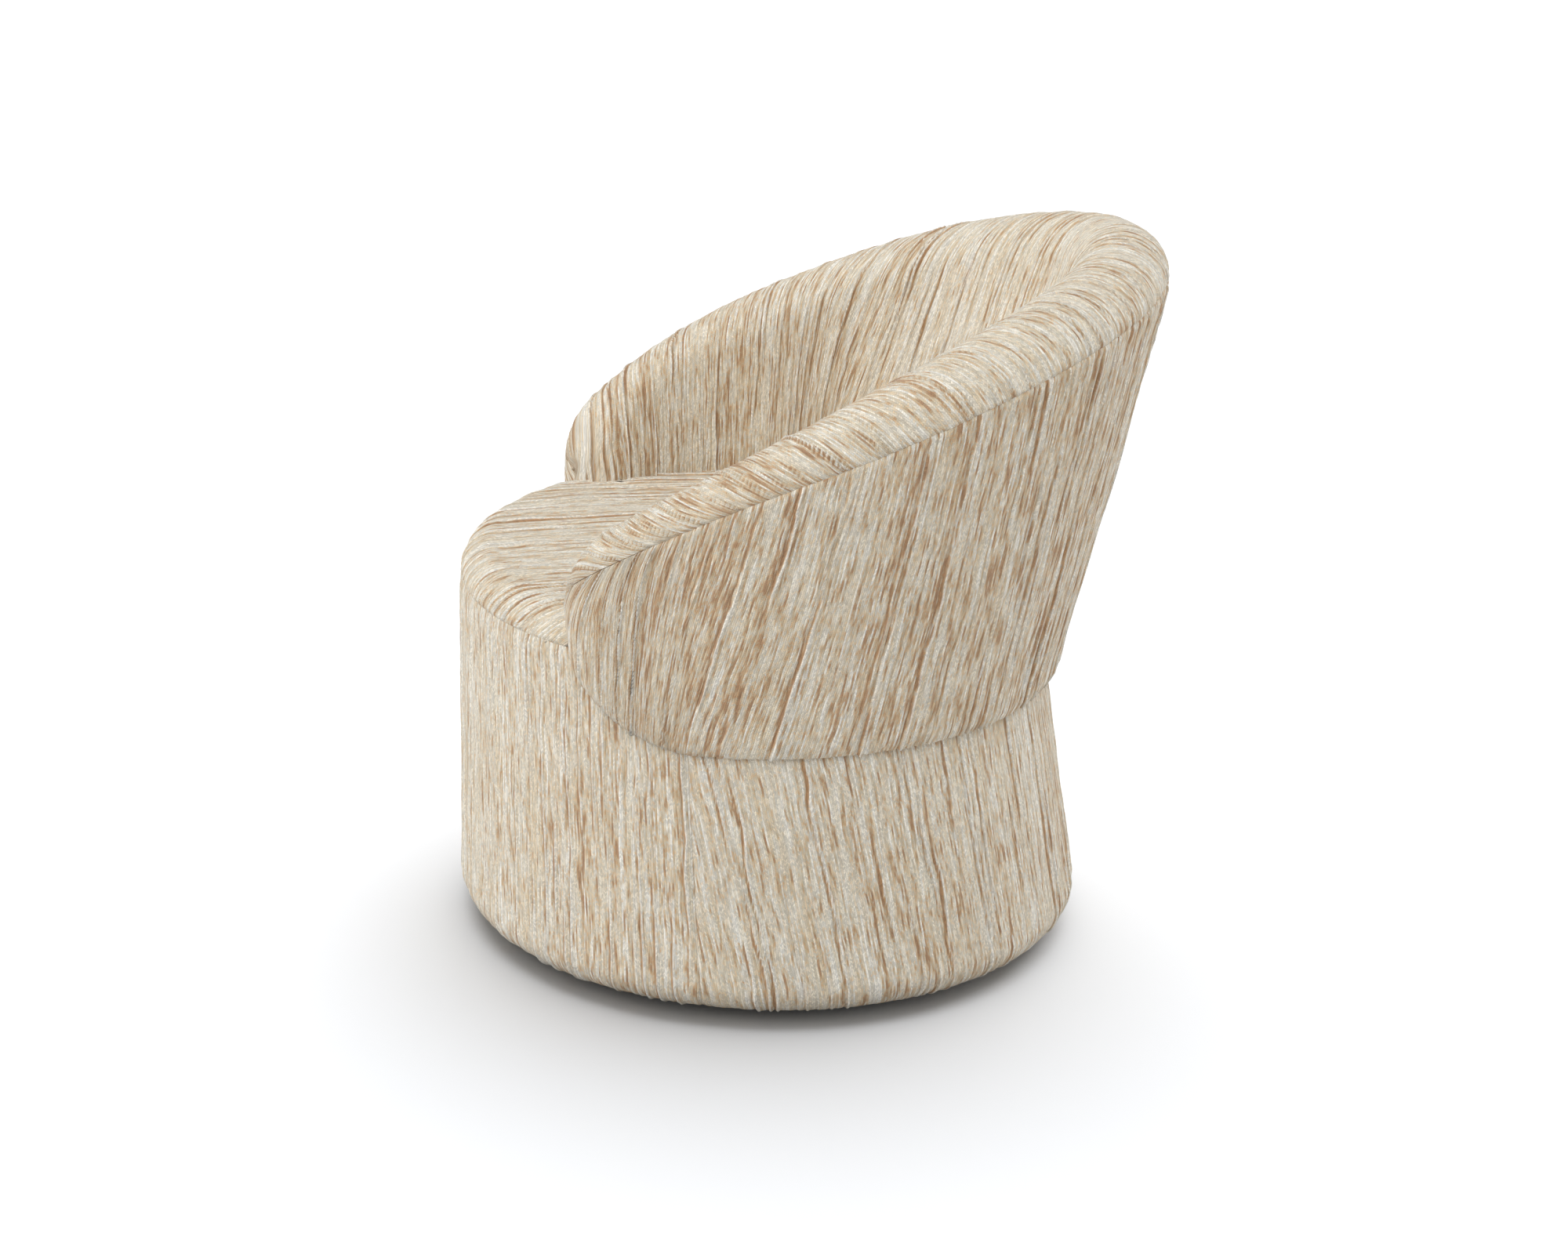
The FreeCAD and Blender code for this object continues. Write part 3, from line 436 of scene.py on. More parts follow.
def slubChenille():
    # cotton and viscose chenille, woven from space-dyed yarn: chalky and without gloss, its short pile catches
    # light at the edges, and its colour starts and stops along each yarn
    material, tree, shader = newMaterial("slubChenille", slub["roughness"], colour=slub["cream"])
    shader.inputs["Specular IOR Level"].default_value = slub["specular"]
    shader.inputs["Sheen Weight"].default_value = slub["sheen"]
    shader.inputs["Sheen Roughness"].default_value = slub["sheenRoughness"]
    weave = addNode(tree, "ShaderNodeUVMap", {"uv_map": "weave"}).outputs["UV"]
    spot = addNode(tree, "ShaderNodeSeparateXYZ", Vector=weave)
    made = {"across": spot.outputs[0], "along": spot.outputs[1]}
    for name in ("ridge", "flank", "pale"):
        made[name] = addNode(tree, "ShaderNodeAttribute", {"attribute_name": name}).outputs["Fac"]
    for name, (acrossMm, alongMm, detail, rough, start) in slub["drawnOut"].items():
        spot = addNode(tree, "ShaderNodeMapping", Vector=weave, Location=(start, start * 1.7, 0),
                       Scale=(1000 / acrossMm, 1000 / alongMm, 1)).outputs[0]
        made[name] = addNode(tree, "ShaderNodeTexNoise", {"noise_dimensions": "2D"}, Vector=spot, Scale=1.0,
                             Detail=detail, Roughness=rough, Distortion=0.0).outputs["Fac"]

    # from the weave map to yarns and stitches: what each step makes, how, and from what
    steps = (
        ("swayed", "SUBTRACT", "sway", 0.5),
        ("straight", "MULTIPLY", "across", 1000 / slub["yarnMm"]),
        ("lane", "MULTIPLY_ADD", "swayed", 2.4, "straight"),
        ("yarn", "FLOOR", "lane"),  # the number of the yarn
        ("inYarn", "FRACT", "lane"),
        ("offMiddle", "SUBTRACT", "inYarn", 0.5),
        ("within", "ABSOLUTE", "offMiddle"),  # 0 in the middle of a yarn, 0.5 at its edge
        ("odd", "FLOORED_MODULO", "yarn", 2.0),
        ("hand", "MULTIPLY_ADD", "odd", 2.0, -1.0),  # one yarn's stitches slant left, the next one's right
        ("stagger", "MULTIPLY", "yarn", 0.37),
        ("level", "MULTIPLY_ADD", "along", 1000 / slub["stitchMm"], "stagger"),
        ("slant", "MULTIPLY", "inYarn", "hand"),
        ("course", "MULTIPLY_ADD", "slant", 0.9, "level"),
        ("stitch", "FLOOR", "course"),
        ("inCourse", "FRACT", "course"),
        ("offStitch", "SUBTRACT", "inCourse", 0.5),
        ("inStitch", "ABSOLUTE", "offStitch"),  # 0 in the middle of a stitch, 0.5 at its ends
        ("ownRow", "MULTIPLY", "yarn", 7.31),  # far enough apart for yarns to differ
    )
    for name, operation, *parts in steps:
        inputs = {"i" + str(k): made.get(part, part) for k, part in enumerate(parts)}
        made[name] = addNode(tree, "ShaderNodeMath", {"operation": operation}, **inputs).outputs[0]
    cell = addNode(tree, "ShaderNodeCombineXYZ", X=made["yarn"], Y=made["stitch"]).outputs[0]
    made["speck"] = addNode(tree, "ShaderNodeTexWhiteNoise", {"noise_dimensions": "2D"},
                            Vector=cell).outputs["Value"]
    for name, (alongMm, rough, start) in slub["perYarn"].items():
        run = addNode(tree, "ShaderNodeMath", {"operation": "MULTIPLY_ADD"}, i0=made["along"],
                      i1=1000 / alongMm, i2=start).outputs[0]
        spot = addNode(tree, "ShaderNodeCombineXYZ", X=made["ownRow"], Y=run).outputs[0]
        made[name] = addNode(tree, "ShaderNodeTexNoise", {"noise_dimensions": "2D"}, Vector=spot, Scale=1.0,
                             Detail=2.0, Roughness=rough, Distortion=0.0).outputs["Fac"]

    made["dye"] = made["dash"]
    for name, middle, weight in slub["dyeDrawnBy"]:
        apart = addNode(tree, "ShaderNodeMath", {"operation": "SUBTRACT"}, i0=made[name],
                        i1=middle).outputs[0]
        made["dye"] = addNode(tree, "ShaderNodeMath", {"operation": "MULTIPLY_ADD"}, i0=apart, i1=weight,
                              i2=made["dye"]).outputs[0]
    gathered = addNode(tree, "ShaderNodeMapRange", {"interpolation_type": "SMOOTHSTEP"}, Value=made["cloud"],
                       From_Min=0.35, From_Max=0.60).outputs[0]
    colour = toLinear(slub["cream"])
    for name, start, end, most, tint in slub["layers"]:
        share = addNode(tree, "ShaderNodeMapRange", {"interpolation_type": "SMOOTHSTEP"}, Value=made[name],
                        From_Min=start, From_Max=end, To_Max=most).outputs[0]
        if name == "flank":  # beside a ridge the tan, dye and painted shade, shows only where the dye gathers
            share = addNode(tree, "ShaderNodeMath", {"operation": "MULTIPLY"}, i0=share,
                            i1=gathered).outputs[0]
        colour = addNode(tree, "ShaderNodeMix", {"data_type": "RGBA"}, i0=share, i6=colour,
                         i7=toLinear(slub[tint])).outputs[2]
    shade = 1.0
    for name, start, end, first, last in slub["shades"]:
        tone = addNode(tree, "ShaderNodeMapRange", {"interpolation_type": "SMOOTHSTEP"}, Value=made[name],
                       From_Min=start, From_Max=end, To_Min=first, To_Max=last).outputs[0]
        shade = addNode(tree, "ShaderNodeMath", {"operation": "MULTIPLY"}, i0=tone, i1=shade).outputs[0]
    toned = addNode(tree, "ShaderNodeVectorMath", {"operation": "SCALE"}, i0=colour, Scale=shade).outputs[0]
    tree.links.new(toned, shader.inputs["Base Color"])

    # thick and thin places, and each stitch rounded and set a little higher or lower than the next
    lumps = addNode(tree, "ShaderNodeBump", Strength=0.5, Distance=0.0010, Height=made["lumps"]).outputs[0]
    height = addNode(tree, "ShaderNodeMath", {"operation": "MULTIPLY_ADD"}, i0=made["speck"], i1=0.6,
                     i2=1.0).outputs[0]
    for name, start in (("within", 0.1), ("inStitch", 0.15)):
        fall = addNode(tree, "ShaderNodeMapRange", {"interpolation_type": "SMOOTHSTEP"}, Value=made[name],
                       From_Min=start, From_Max=0.5).outputs[0]
        height = addNode(tree, "ShaderNodeMath", {"operation": "SUBTRACT"}, i0=height, i1=fall).outputs[0]
    fine = addNode(tree, "ShaderNodeBump", Strength=0.6, Distance=0.0006, Height=height,
                   Normal=lumps).outputs[0]
    tree.links.new(fine, shader.inputs["Normal"])
    return material


clothMaterial = slubChenille()
print("cloth material ready")

# The stuff of each slot: its two tones, the size of its grain along x, y and z, its roughness in the bright
# and in the dark tone, and how deep the grain is. Grain finer than half a millimetre is drawn coarser to show.
finishes = {
    # pressed wool: dead matt, flecked with paler fibres
    "felt": {"stuff": "pressedWoolFelt", "dark": "#3A3A3C", "bright": "#56565A", "grainMm": (0.6, 0.6, 0.6),
             "roughness": (0.95, 1.0), "metallic": 0.0, "depthMm": 0.35},
    # stained and varnished plywood: nearly black, its long grain shows in a low shine
    "plinth_black": {"stuff": "blackStainedPlywood", "dark": "#151413", "bright": "#262422",
                     "grainMm": (1.2, 28.0, 1.2), "roughness": (0.42, 0.60), "metallic": 0.0,
                     "depthMm": 0.06},
    # pressed and zinc plated steel: grey, with cloudy patches of duller plating
    "plate_steel": {"stuff": "zincPlatedSteel", "dark": "#9A9EA2", "bright": "#BFC3C6",
                    "grainMm": (9.0, 9.0, 9.0), "roughness": (0.28, 0.46), "metallic": 1.0, "depthMm": 0.03},
    # hardened and lapped steel: smooth and mirror bright
    "ball_steel": {"stuff": "polishedBearingSteel", "dark": "#C4C7CA", "bright": "#D8DADC",
                   "grainMm": (3.0, 3.0, 3.0), "roughness": (0.06, 0.14), "metallic": 1.0, "depthMm": 0.004},
    # moulded nylon: milky, with a soft shine
    "cage_plastic": {"stuff": "mouldedNylon", "dark": "#DAD7CE", "bright": "#E9E7E0",
                     "grainMm": (1.0, 1.0, 1.0), "roughness": (0.38, 0.50), "metallic": 0.0,
                     "depthMm": 0.03},
    # turned acetal: whiter than the nylon and a little shinier
    "bush_plastic": {"stuff": "turnedAcetal", "dark": "#E4E1D8", "bright": "#F0EEE8",
                     "grainMm": (1.4, 1.4, 1.4), "roughness": (0.30, 0.42), "metallic": 0.0,
                     "depthMm": 0.02},
    # screws and bolts in bright zinc: paler than the plates, finely mottled
    "zinc": {"stuff": "brightZincSteel", "dark": "#A9ADB2", "bright": "#C9CDD2", "grainMm": (1.5, 1.5, 1.5),
             "roughness": (0.24, 0.40), "metallic": 1.0, "depthMm": 0.02},
    # sawn birch plywood: pale, long streaks on its face and dark glue lines at its edge
    "plywood": {"stuff": "birchPlywood", "dark": "#C9A777", "bright": "#E2C79D", "grainMm": (30.0, 2.2, 2.2),
                "roughness": (0.55, 0.72), "metallic": 0.0, "depthMm": 0.08},
    # planed beech: pinkish, with short upright flecks
    "beech": {"stuff": "planedBeech", "dark": "#C09A72", "bright": "#DDBD97", "grainMm": (2.4, 2.4, 26.0),
              "roughness": (0.50, 0.66), "metallic": 0.0, "depthMm": 0.06},
    # hardboard bent to a curve: brown pressed fibre, mottled and dull
    "hardboard": {"stuff": "bentHardboard", "dark": "#6B4A30", "bright": "#8C6746",
                  "grainMm": (1.1, 1.1, 1.1), "roughness": (0.60, 0.80), "metallic": 0.0, "depthMm": 0.12},
    # spunbond polypropylene: thin black dust cloth with a dull speckle
    "dust_cloth": {"stuff": "spunbondDustCloth", "dark": "#1B1B1C", "bright": "#303032",
                   "grainMm": (0.5, 0.5, 0.5), "roughness": (0.85, 0.98), "metallic": 0.0, "depthMm": 0.15},
    # polyester wadding: white, fluffy and without any shine
    "wadding": {"stuff": "polyesterWadding", "dark": "#DEDCD6", "bright": "#F2F1ED",
                "grainMm": (2.5, 2.5, 2.5), "roughness": (0.95, 1.0), "metallic": 0.0, "depthMm": 0.8},
    # cut polyurethane foam: yellowish, with fine open cells
    "foam": {"stuff": "cutSeatFoam", "dark": "#D9CBA0", "bright": "#EFE4C2", "grainMm": (0.9, 0.9, 0.9),
             "roughness": (0.90, 1.0), "metallic": 0.0, "depthMm": 0.3},
    # woven elastic webbing: charcoal and dull, with a rib every few millimetres
    "webbing": {"stuff": "wovenElasticWebbing", "dark": "#2C2A28", "bright": "#4A4743",
                "grainMm": (1.6, 1.6, 1.6), "roughness": (0.80, 0.95), "metallic": 0.0, "depthMm": 0.3},
}
layered = {
    # evenly spaced darker lines: their direction, their pitch and the tone between two of them
    "plywood": {"direction": "Z", "pitchMm": 1.5, "tone": 0.80},
    "webbing": {"direction": "DIAGONAL", "pitchMm": 2.5, "tone": 0.55},
}


def slotMaterial(slotName):
    finish = finishes[slotName]
    brightRough, darkRough = finish["roughness"]
    material, tree, shader = newMaterial(finish["stuff"], darkRough, finish["metallic"], finish["bright"])
    where = addNode(tree, "ShaderNodeTexCoord").outputs["Object"]
    drawn = addNode(tree, "ShaderNodeMapping", Vector=where,
                    Scale=[1000 / mm for mm in finish["grainMm"]]).outputs[0]
    grain = addNode(tree, "ShaderNodeTexNoise", Vector=drawn, Scale=1.0, Detail=4.0,
                    Roughness=0.6).outputs["Fac"]
    patches = addNode(tree, "ShaderNodeTexNoise", Vector=where, Scale=18.0, Detail=2.0).outputs["Fac"]
    patches = addNode(tree, "ShaderNodeMath", {"operation": "MULTIPLY"}, i0=patches, i1=0.25).outputs[0]
    both = addNode(tree, "ShaderNodeMath", {"operation": "MULTIPLY_ADD"}, i0=grain, i1=0.75,
                   i2=patches).outputs[0]
    share = addNode(tree, "ShaderNodeMapRange", Value=both, From_Min=0.35, From_Max=0.65).outputs[0]
    colour = addNode(tree, "ShaderNodeMix", {"data_type": "RGBA"}, i0=share, i6=toLinear(finish["dark"]),
                     i7=toLinear(finish["bright"])).outputs[2]
    if slotName in layered:
        lines = layered[slotName]
        waveScale = 1000 / lines["pitchMm"] * math.pi / 10
        bands = addNode(tree, "ShaderNodeTexWave", {"bands_direction": lines["direction"]}, Vector=where,
                        Scale=waveScale, Distortion=0.4, Detail=1.0).outputs["Fac"]
        tone = addNode(tree, "ShaderNodeMapRange", Value=bands, From_Min=0.0, From_Max=0.5,
                       To_Min=lines["tone"], To_Max=1.0).outputs[0]
        colour = addNode(tree, "ShaderNodeVectorMath", {"operation": "SCALE"}, i0=colour,
                         Scale=tone).outputs[0]
    tree.links.new(colour, shader.inputs["Base Color"])
    gloss = addNode(tree, "ShaderNodeMapRange", Value=share, To_Min=darkRough, To_Max=brightRough).outputs[0]
    tree.links.new(gloss, shader.inputs["Roughness"])
    feel = addNode(tree, "ShaderNodeBump", Strength=0.8, Distance=finish["depthMm"] / 1000,
                   Height=grain).outputs[0]
    tree.links.new(feel, shader.inputs["Normal"])
    return material


slotMaterials = {slotName: slotMaterial(slotName) for slotName in finishes}
slotMaterials["cloth"] = clothMaterial
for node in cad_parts.values():
    for k, packed in enumerate(node.data.materials):
        node.data.materials[k] = slotMaterials[packed.name.split(".")[0]]
print("finishes on the carried-over pieces ready")

# Each cover stands for its own cloth and the padding under it.
standsFor = {
    "outerBackCover": ["outer_back_cover", "outer_wadding", "waist_pad"],
    "innerBackCover": ["inner_back_cover", "rim_foam", "inner_foam"],
    "armCoverLeft": ["arm_cover_left", "arm_end_foam_left"],
    "armCoverRight": ["arm_cover_right", "arm_end_foam_right"],
    "drumFrontCover": ["drum_front_cover"],
    "drumBackCover": ["drum_back_cover", "drum_wadding"],
    "seatCover": ["seat_cover", "seat_foam"],
}


def columnCount(width, spacing):
    return max(int(round(width / spacing)), 8)


def rimShift(c, down, roll):
    # how far a stripe has swung backwards at this far down the rim's curve
    angle = plainAngle(c)
    slope = np.radians(np.interp(np.abs(angle), *shell["rimSlope"]))
    turn = np.clip(1 - down / (math.pi * roll * np.maximum(tipTurn(angle), 0.25)), 0, 1)
    swing = np.minimum(2 * slope * turn, 1.35)  # short of a quarter turn, where it would have no end
    return roll * math.pi / (2 * np.maximum(slope, 1e-4)) * -np.log(np.cos(swing))


def seamAway(c, down):
    fade = smooth((shell["seamEnd"] - np.abs(c)) / shell["seamFade"])
    return np.minimum(down / np.maximum(fade, 0.02), 1.0)


def fromTip(c):
    return np.radians(rimEnd - np.abs(c)) * 0.3


outerCloth = {
    # tone: more dye than the seat gets, a painted shade on the outside of the back
    "seed": 21, "relief": 1.0, "tone": 0.30, "fill": 0.5, "rows": 50, "columnWidth": 0.0016,
    # its stripes run parallel to its centre line once it is laid flat, as part of a wide cone's skin
    "radius": 0.317, "conePoint": 1.95, "middle": 0.45,
    # columns of the grid lean with the stripes, least near the arm tips
    "lean": 15.0, "leanShare": 0.93, "leanFull": 95.0, "leanFade": 34.0,
    # round the arm tips the stripes turn to follow the outline, where both covers run on as one
    "wrapStart": 100.0, "wrapSpan": 24.0, "wrapRadius": 0.305, "wrapSwing": 0.035, "wrapDepth": 0.02,
}


def outerBackCover():
    cloth = outerCloth
    spacing = math.degrees(cloth["columnWidth"] / cloth["radius"])
    columns = np.linspace(-rimEnd, rimEnd, columnCount(2 * rimEnd, spacing))

    def lean(c, share):
        turn = np.radians(np.clip(np.abs(c), 0, rimEnd) * 90 / cloth["leanFull"]).clip(0, math.pi / 2)
        drift = cloth["lean"] * np.sin(turn)
        drift = drift * smooth((rimEnd - np.abs(c)) / cloth["leanFade"])
        return c + np.sign(c) * drift * share * cloth["leanShare"]

    place, c, down = shellGrid("outer", columns, cloth["rows"], lean)
    around = np.radians(c)
    turnRate = cloth["radius"] / cloth["conePoint"]
    fromPoint = cloth["conePoint"] + (place[..., 2] - cloth["middle"])
    wrap = smooth((np.abs(c) - cloth["wrapStart"]) / cloth["wrapSpan"])
    swung = np.sign(c) * rimShift(c, 0 * c, fullRoll(plainAngle(c)))
    swung = swung - np.sign(c) * cloth["wrapSwing"] * (1 - np.exp(-down / cloth["wrapDepth"]))
    wrapped = cloth["wrapRadius"] * around + swung
    across = fromPoint * np.sin(turnRate * around) * (1 - wrap) + wrapped * wrap
    along = (cloth["conePoint"] - fromPoint * np.cos(turnRate * around)) * (1 - wrap) + down * wrap
    outward = place - np.array([0, shell["centre"], cloth["middle"]])
    outward[..., 2] *= 0.2
    coverPiece("outerBackCover", place, across, along, seamAway(c, down), outward, cloth, tipAway=fromTip(c))


innerCloth = {
    "rows": 74, "columnWidth": 0.0016,
    # inside the back it is part of a narrower cone's skin; its stripes swing least on the centre line
    "conePoint": 0.85, "coneTurn": 0.36, "coneHeight": 0.55,
    "swingLeast": 0.6, "swingStart": 25.0, "swingSpan": 35.0,
    # along the arms the stripes run on over the join, and hang straight further forward
    "armRadius": 0.305, "armHeight": 0.62, "straightSpan": 25.0, "joinRadius": 0.27,
    "core": 0.28,  # the padding's middle, which the rim's cloth faces away from
}
innerPanels = {
    # tone: the inside of the back paler, as painted light, and the arms tanner, as painted shade
    "innerBackCover": {"from": -shell["seamAngle"], "to": shell["seamAngle"], "seed": 21, "relief": 0.75,
                       "tone": -0.3, "fill": 0.5},
    "armCoverLeft": {"from": -rimEnd, "to": -shell["seamAngle"], "seed": 21, "relief": 0.75, "tone": 0.2,
                     "fill": 0.5},
    "armCoverRight": {"from": shell["seamAngle"], "to": rimEnd, "seed": 21, "relief": 0.75, "tone": 0.2,
                      "fill": 0.5},
}


def innerCovers():
    # the rim and the inside in three panels, joined at the seam angle on each side
    cloth = innerCloth
    spacing = math.degrees(cloth["columnWidth"] / outerCloth["radius"])
    for name, panel in innerPanels.items():
        columns = np.linspace(panel["from"], panel["to"], columnCount(panel["to"] - panel["from"], spacing))
        place, c, down = shellGrid("inner", columns, cloth["rows"], lambda c, share: c + 0 * share)
        height = place[..., 2]
        angle = plainAngle(c)
        roll = fullRoll(angle)
        swung = np.sign(c) * rimShift(c, down, roll)
        beyond = np.radians(np.abs(c) - shell["seamAngle"])
        if name == "innerBackCover":
            fromPoint = cloth["conePoint"] + (height - cloth["coneHeight"])
            swing = smooth((np.abs(c) - cloth["swingStart"]) / cloth["swingSpan"])
            across = fromPoint * np.sin(cloth["coneTurn"] * np.radians(c))
            across = across + swung * (cloth["swingLeast"] + (1 - cloth["swingLeast"]) * swing)
        else:
            straight = smooth((np.abs(c) - shell["seamAngle"]) / cloth["straightSpan"])
            joinHeight = height * (1 - straight) + cloth["armHeight"] * straight
            fromPoint = cloth["conePoint"] + (joinHeight - cloth["coneHeight"])
            atJoin = fromPoint * math.sin(cloth["coneTurn"] * math.radians(shell["seamAngle"]))
            across = np.sign(c) * (atJoin + cloth["armRadius"] * beyond) + swung
        sine, cosine = np.sin(np.radians(angle)), np.cos(np.radians(angle))
        middle = height * 0.5 + 0.5 * (crestHeight(angle) - roll)
        core = np.stack([cloth["core"] * sine, shell["centre"] + cloth["core"] * cosine, middle], -1)
        inward = np.stack([-sine, -cosine, 0 * angle + 0.1], -1)
        belowRim = down > math.pi * roll * 0.9
        outward = np.where(belowRim[..., None], inward, place - core)
        coverPiece(name, place, across, -down, seamAway(c, down), outward, panel,
                   joinAway=np.abs(beyond * cloth["joinRadius"]), tipAway=fromTip(c))


drumCloth = {
    "columnWidth": 0.0017, "columnRadius": 0.32,
    "underReach": 0.284, "underRows": 6, "rollRows": 14, "sideRows": 40,
    "tuck": 0.02,  # how far the back's panel goes on up behind the waist
    "frontRadius": 0.318, "backRadius": 0.316, "backTurn": 0.075,  # the back's panel is cut as part of a cone
    "middle": 0.09,
}
drumPanels = {
    # tone: the drum a little paler than the cloth, as painted light
    "drumFrontCover": {"faces": 180.0, "halfSpan": 75.0, "seed": 71, "relief": 0.7, "tone": -0.1,
                       "fill": 0.5},
    "drumBackCover": {"faces": 0.0, "halfSpan": 105.0, "seed": 83, "relief": 0.7, "tone": -0.1,
                      "fill": 0.5},
}


def drumCovers():
    roll, radius = drum["footRoll"], drumCloth["columnRadius"]
    foot = drum["foot"] + roll
    reach = drumRadius(foot) - roll
    for name, panel in drumPanels.items():
        front = name == "drumFrontCover"
        highest = drum["seamHeight"] if front else shell["waist"] + shell["lip"] + drumCloth["tuck"]
        span = panel["halfSpan"]
        width = math.radians(2 * span) * radius
        columns = np.linspace(-span, span, columnCount(width, drumCloth["columnWidth"]))
        # radius, height, the height that sets how far forward it lies, and the cloth's length from the foot
        rows = [(x, drum["foot"], foot, x - reach)
                for x in np.linspace(drumCloth["underReach"], reach, drumCloth["underRows"])]
        rows += [(reach + roll * math.sin(q), foot - roll * math.cos(q), foot, roll * q)
                 for q in np.linspace(0, math.pi / 2, drumCloth["rollRows"])[1:]]
        rows += [(drumRadius(z), z, z, roll * math.pi / 2 + z - foot)
                 for z in np.linspace(foot, highest, drumCloth["sideRows"])[1:]]
        rows = np.array(rows)
        a = np.radians(columns + panel["faces"])[None, :]
        r, z, level, up = [rows[:, k][:, None] + 0 * a for k in range(4)]
        place = np.stack([r * np.sin(a), drumShift(level) + r * np.cos(a), z], -1)
        around = np.radians(columns)[None, :]
        if front:
            across = drumCloth["frontRadius"] * around + 0 * r
            along = up
        else:
            fromPoint = drumCloth["backRadius"] / drumCloth["backTurn"] - up
            across = fromPoint * np.sin(around * drumCloth["backTurn"] + 0 * r)
            along = fromPoint * np.cos(around * drumCloth["backTurn"] + 0 * r)
        edge = np.minimum((np.radians(span) - np.abs(np.radians(columns)))[None, :] * r, 1.0)
        if front:
            edge = np.minimum(edge, (highest - z))
        outward = place - np.array([0, 0, drumCloth["middle"]])
        outward[..., 2] *= 0.4
        outward[:drumCloth["underRows"]] = (0, 0, -1)
        coverPiece(name, place, across, along, edge, outward, panel)


seatCloth = {
    # tone: the seat's top paler, as painted light
    "seed": 95, "relief": 0.7, "tone": -0.3, "fill": 0.8, "grid": (310, 150),
    "roll": 0.034, "crown": 0.013,  # its rounded edge, and how much higher it is in the middle
    "wellRadius": 0.2350, "armFront": 50.0, "armFrontEnd": 56.0,  # the arms draw it in, from this far round
    "still": 0.16,  # nearer to the middle than this it isn't drawn in
    "middle": 0.2,
}


def seatCover():
    cloth = seatCloth
    roll, crown, still = cloth["roll"], cloth["crown"], cloth["still"]
    flatRadius = drum["seamRadius"] - roll
    dome = (flatRadius ** 2 + crown ** 2) / (2 * crown)
    domeMiddle = drum["seamHeight"] + roll + crown - dome
    whole = flatRadius + roll * math.pi / 2
    columns, rows = cloth["grid"]
    gridX, gridY = np.meshgrid(np.linspace(-1, 1, columns), np.linspace(-1, 1, rows))
    x = gridX * np.sqrt(1 - gridY ** 2 / 2)
    y = gridY * np.sqrt(1 - gridX ** 2 / 2)
    angle = np.arctan2(x, -y)  # 0 at the front
    # inside the arms the cloth ends at the well, in front of them it runs over the edge to the seam
    shift = shell["centre"] - drum["seamShift"]
    a = math.pi - angle
    well = shift * np.cos(a) + np.sqrt(cloth["wellRadius"] ** 2 - (shift * np.sin(a)) ** 2)
    fromFront = np.abs(np.degrees(angle))
    openShare = smooth((cloth["armFrontEnd"] - fromFront) / (cloth["armFrontEnd"] - cloth["armFront"]))
    reach = well + (whole - well) * openShare
    s = np.hypot(x, y) * whole
    s = np.where(s < still, s, still + (s - still) * (reach - still) / (whole - still))
    bend = np.clip((s - flatRadius) / roll, 0, math.pi / 2)
    onTop = s < flatRadius
    r = np.where(onTop, s, flatRadius + roll * np.sin(bend))
    domed = domeMiddle + np.sqrt(dome ** 2 - np.minimum(s, flatRadius) ** 2)
    z = np.where(onTop, domed, drum["seamHeight"] + roll * np.cos(bend))
    place = np.stack([r * np.sin(angle), drum["seamShift"] - r * np.cos(angle), z], -1)
    edge = np.where(openShare > 0.5, whole - s, 1.0)
    outward = place - np.array([0, drum["seamShift"], cloth["middle"]])
    coverPiece("seatCover", place, s * np.sin(angle), -s * np.cos(angle), edge, outward, cloth)


outerBackCover()
innerCovers()
drumCovers()
seatCover()

view = {
    "azimuth": 86.0, "elevation": 20.0, "distance": 3.6333, "right": 0.00726, "up": 0.3099, "roll": 1.78,
    "lens": 79.2, "sensor": 36.0, "farthest": 60.0,
}


def addCamera():
    azimuth, elevation = math.radians(view["azimuth"]), math.radians(view["elevation"])
    back = Vector((math.sin(azimuth) * math.cos(elevation), -math.cos(azimuth) * math.cos(elevation),
                   math.sin(elevation)))
    right = Vector((math.cos(azimuth), math.sin(azimuth), 0))
    up = back.cross(right)
    roll = math.radians(view["roll"])
    rolledRight = right * math.cos(roll) + up * math.sin(roll)
    rolledUp = up * math.cos(roll) - right * math.sin(roll)
    data = bpy.data.cameras.new("camera")
    data.lens = view["lens"]
    data.sensor_width = view["sensor"]
    data.sensor_fit = "HORIZONTAL"
    data.clip_end = view["farthest"]
    camera = bpy.data.objects.new("camera", data)
    turn = Matrix((rolledRight, rolledUp, back)).transposed().to_4x4()
    turn.translation = right * view["right"] + Vector((0, 0, view["up"])) + back * view["distance"]
    camera.matrix_world = turn
    bpy.context.scene.collection.objects.link(camera)
    bpy.context.scene.camera = camera


def whereSeen(tree):
    # 1 where the camera, a reflection or glass looks straight at it, and 0 for the light that it gives
    path = addNode(tree, "ShaderNodeLightPath")
    seen = path.outputs["Is Camera Ray"]
    for ray in ("Is Glossy Ray", "Is Transmission Ray"):
        seen = addNode(tree, "ShaderNodeMath", {"operation": "MAXIMUM"}, i0=seen,
                       i1=path.outputs[ray]).outputs[0]
    return seen


light = {
    "sky": 0.38,
    # where each sun is, its strength, and its spread in degrees
    "suns": {"front": ((0.0, -1.0, 0.45), 1.30, 60.0), "behind": ((-0.1, 1.0, 0.7), 0.65, 60.0),
             "behindLow": ((-0.35, 1.0, 0.2), 0.95, 60.0), "frontLeft": ((0.7, -0.7, 0.6), 0.65, 60.0),
             "cameraSide": ((0.7, -0.1, 0.8), 0.90, 60.0)},
    "overFloor": ((-0.45, 0.16, 1.0), 3.1, 80.0),
}


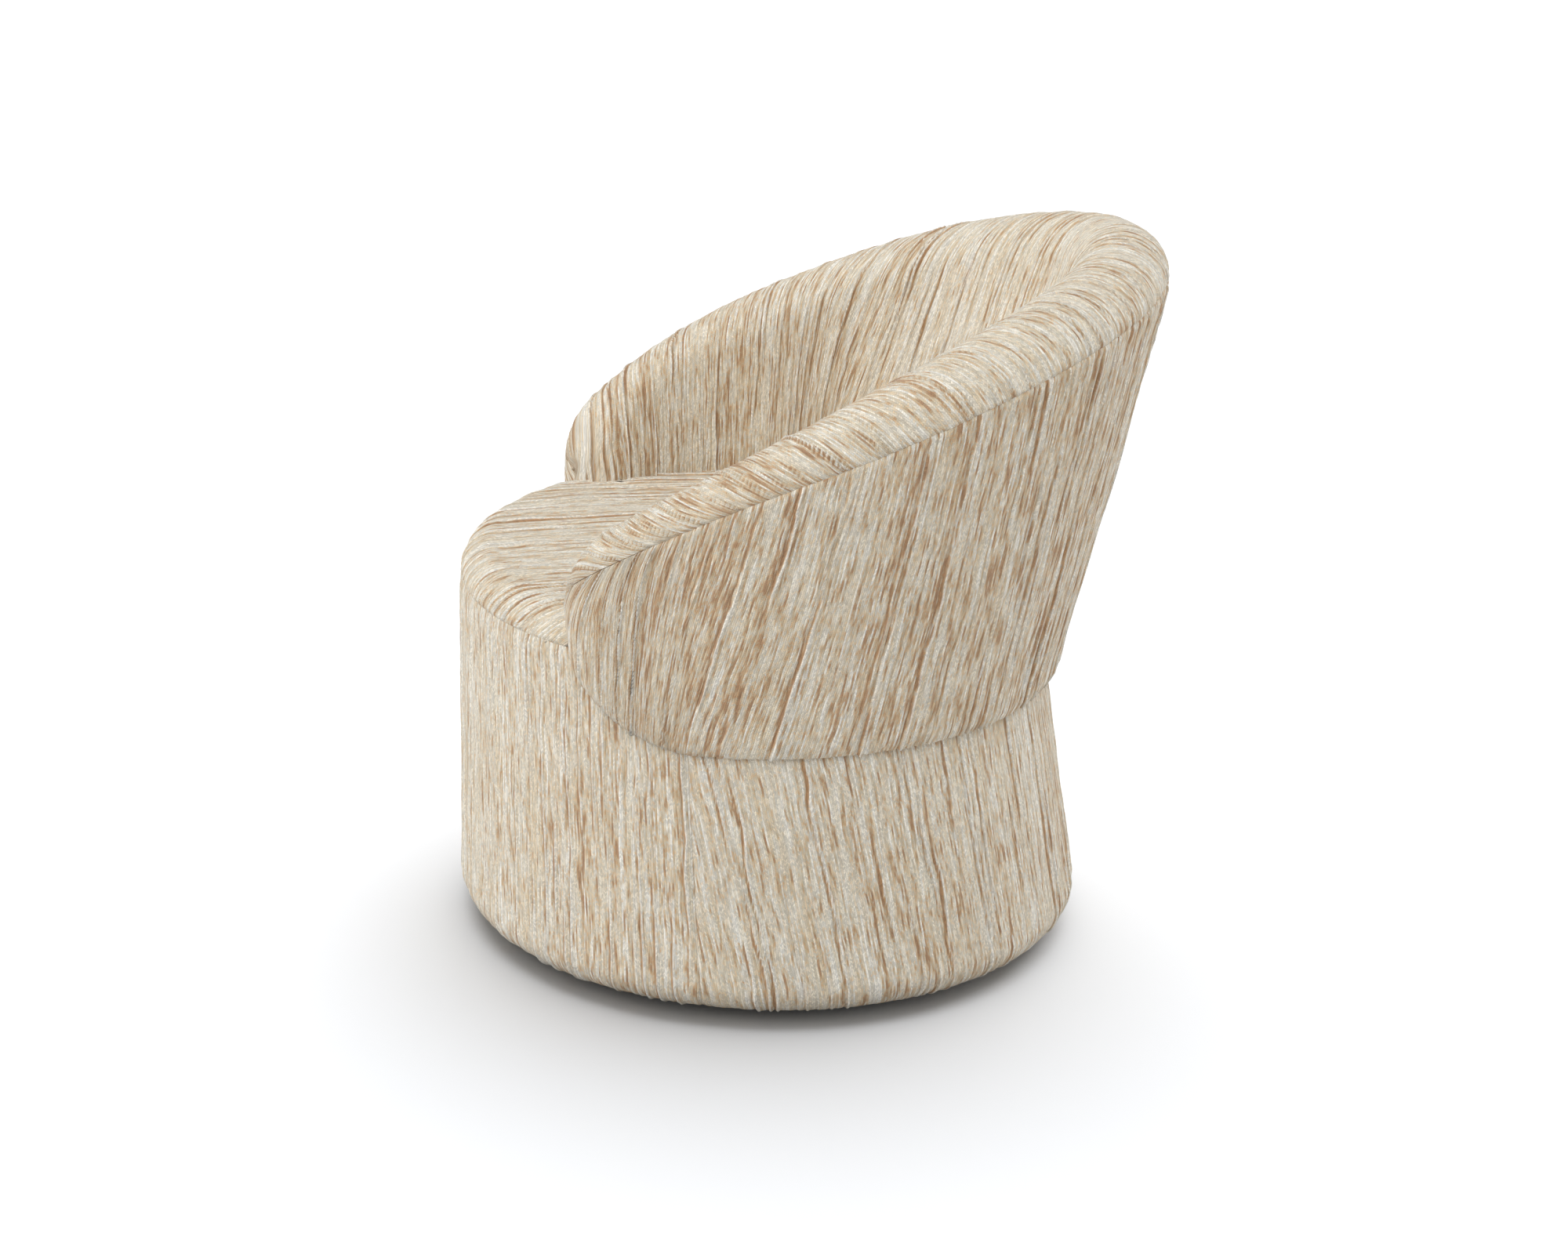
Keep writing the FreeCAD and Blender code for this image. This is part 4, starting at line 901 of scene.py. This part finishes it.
def addSun(name, source, strength, spread, plane, floorState):
    # the floor has a sun of its own, so that the chair's shadow is soft on every side
    data = bpy.data.lights.new(name, "SUN")
    data.energy = strength
    data.angle = math.radians(spread)
    sun = bpy.data.objects.new(name, data)
    sun.matrix_world = Vector(source).normalized().to_track_quat("Z", "Y").to_matrix().to_4x4()
    bpy.context.scene.collection.objects.link(sun)
    receivers = bpy.data.collections.new(name + "Receivers")
    receivers.objects.link(plane)
    receivers.collection_objects[0].light_linking.link_state = floorState
    sun.light_linking.receiver_collection = receivers


def addLight(plane):
    world = bpy.data.worlds.new("studio")
    bpy.context.scene.world = world
    world.use_nodes = True
    tree = world.node_tree
    sky = tree.nodes["Background"]
    sky.inputs["Color"].default_value = (1, 1, 1, 1)
    sky.inputs["Strength"].default_value = light["sky"]
    white = addNode(tree, "ShaderNodeBackground", Color=(1, 1, 1, 1), Strength=1.0)
    mix = addNode(tree, "ShaderNodeMixShader", i0=whereSeen(tree), i1=sky.outputs[0], i2=white.outputs[0])
    tree.links.new(mix.outputs[0], tree.nodes["World Output"].inputs["Surface"])
    for name, (source, strength, spread) in light["suns"].items():
        addSun(name, source, strength, spread, plane, "EXCLUDE")
    addSun("overFloor", *light["overFloor"], plane, "INCLUDE")


floor = {"seen": "#F3F5F8", "bounced": "#BEBEBE", "reach": 14.0}


def addFloor():
    # painted studio floor: matt and nearly white where it is seen, duller in the light that it throws back
    reach = floor["reach"]
    corners = [(-reach, -reach, 0), (reach, -reach, 0), (reach, reach, 0), (-reach, reach, 0)]
    mesh = bpy.data.meshes.new("floor")
    mesh.from_pydata(corners, [], [(0, 1, 2, 3)])
    plane = bpy.data.objects.new("floor", mesh)
    bpy.context.scene.collection.objects.link(plane)
    material, tree, shader = newMaterial("paintedStudioFloor", 1.0, colour=floor["seen"])
    shader.inputs["Specular IOR Level"].default_value = 0.0
    dull = addNode(tree, "ShaderNodeBsdfDiffuse", Color=toLinear(floor["bounced"]))
    mix = addNode(tree, "ShaderNodeMixShader", i0=whereSeen(tree), i1=dull.outputs[0], i2=shader.outputs[0])
    tree.links.new(mix.outputs[0], tree.nodes["Material Output"].inputs["Surface"])
    mesh.materials.append(material)
    return plane


addCamera()
addLight(addFloor())
bpy.context.scene.view_settings.view_transform = "Standard"
print("camera, light and floor ready")
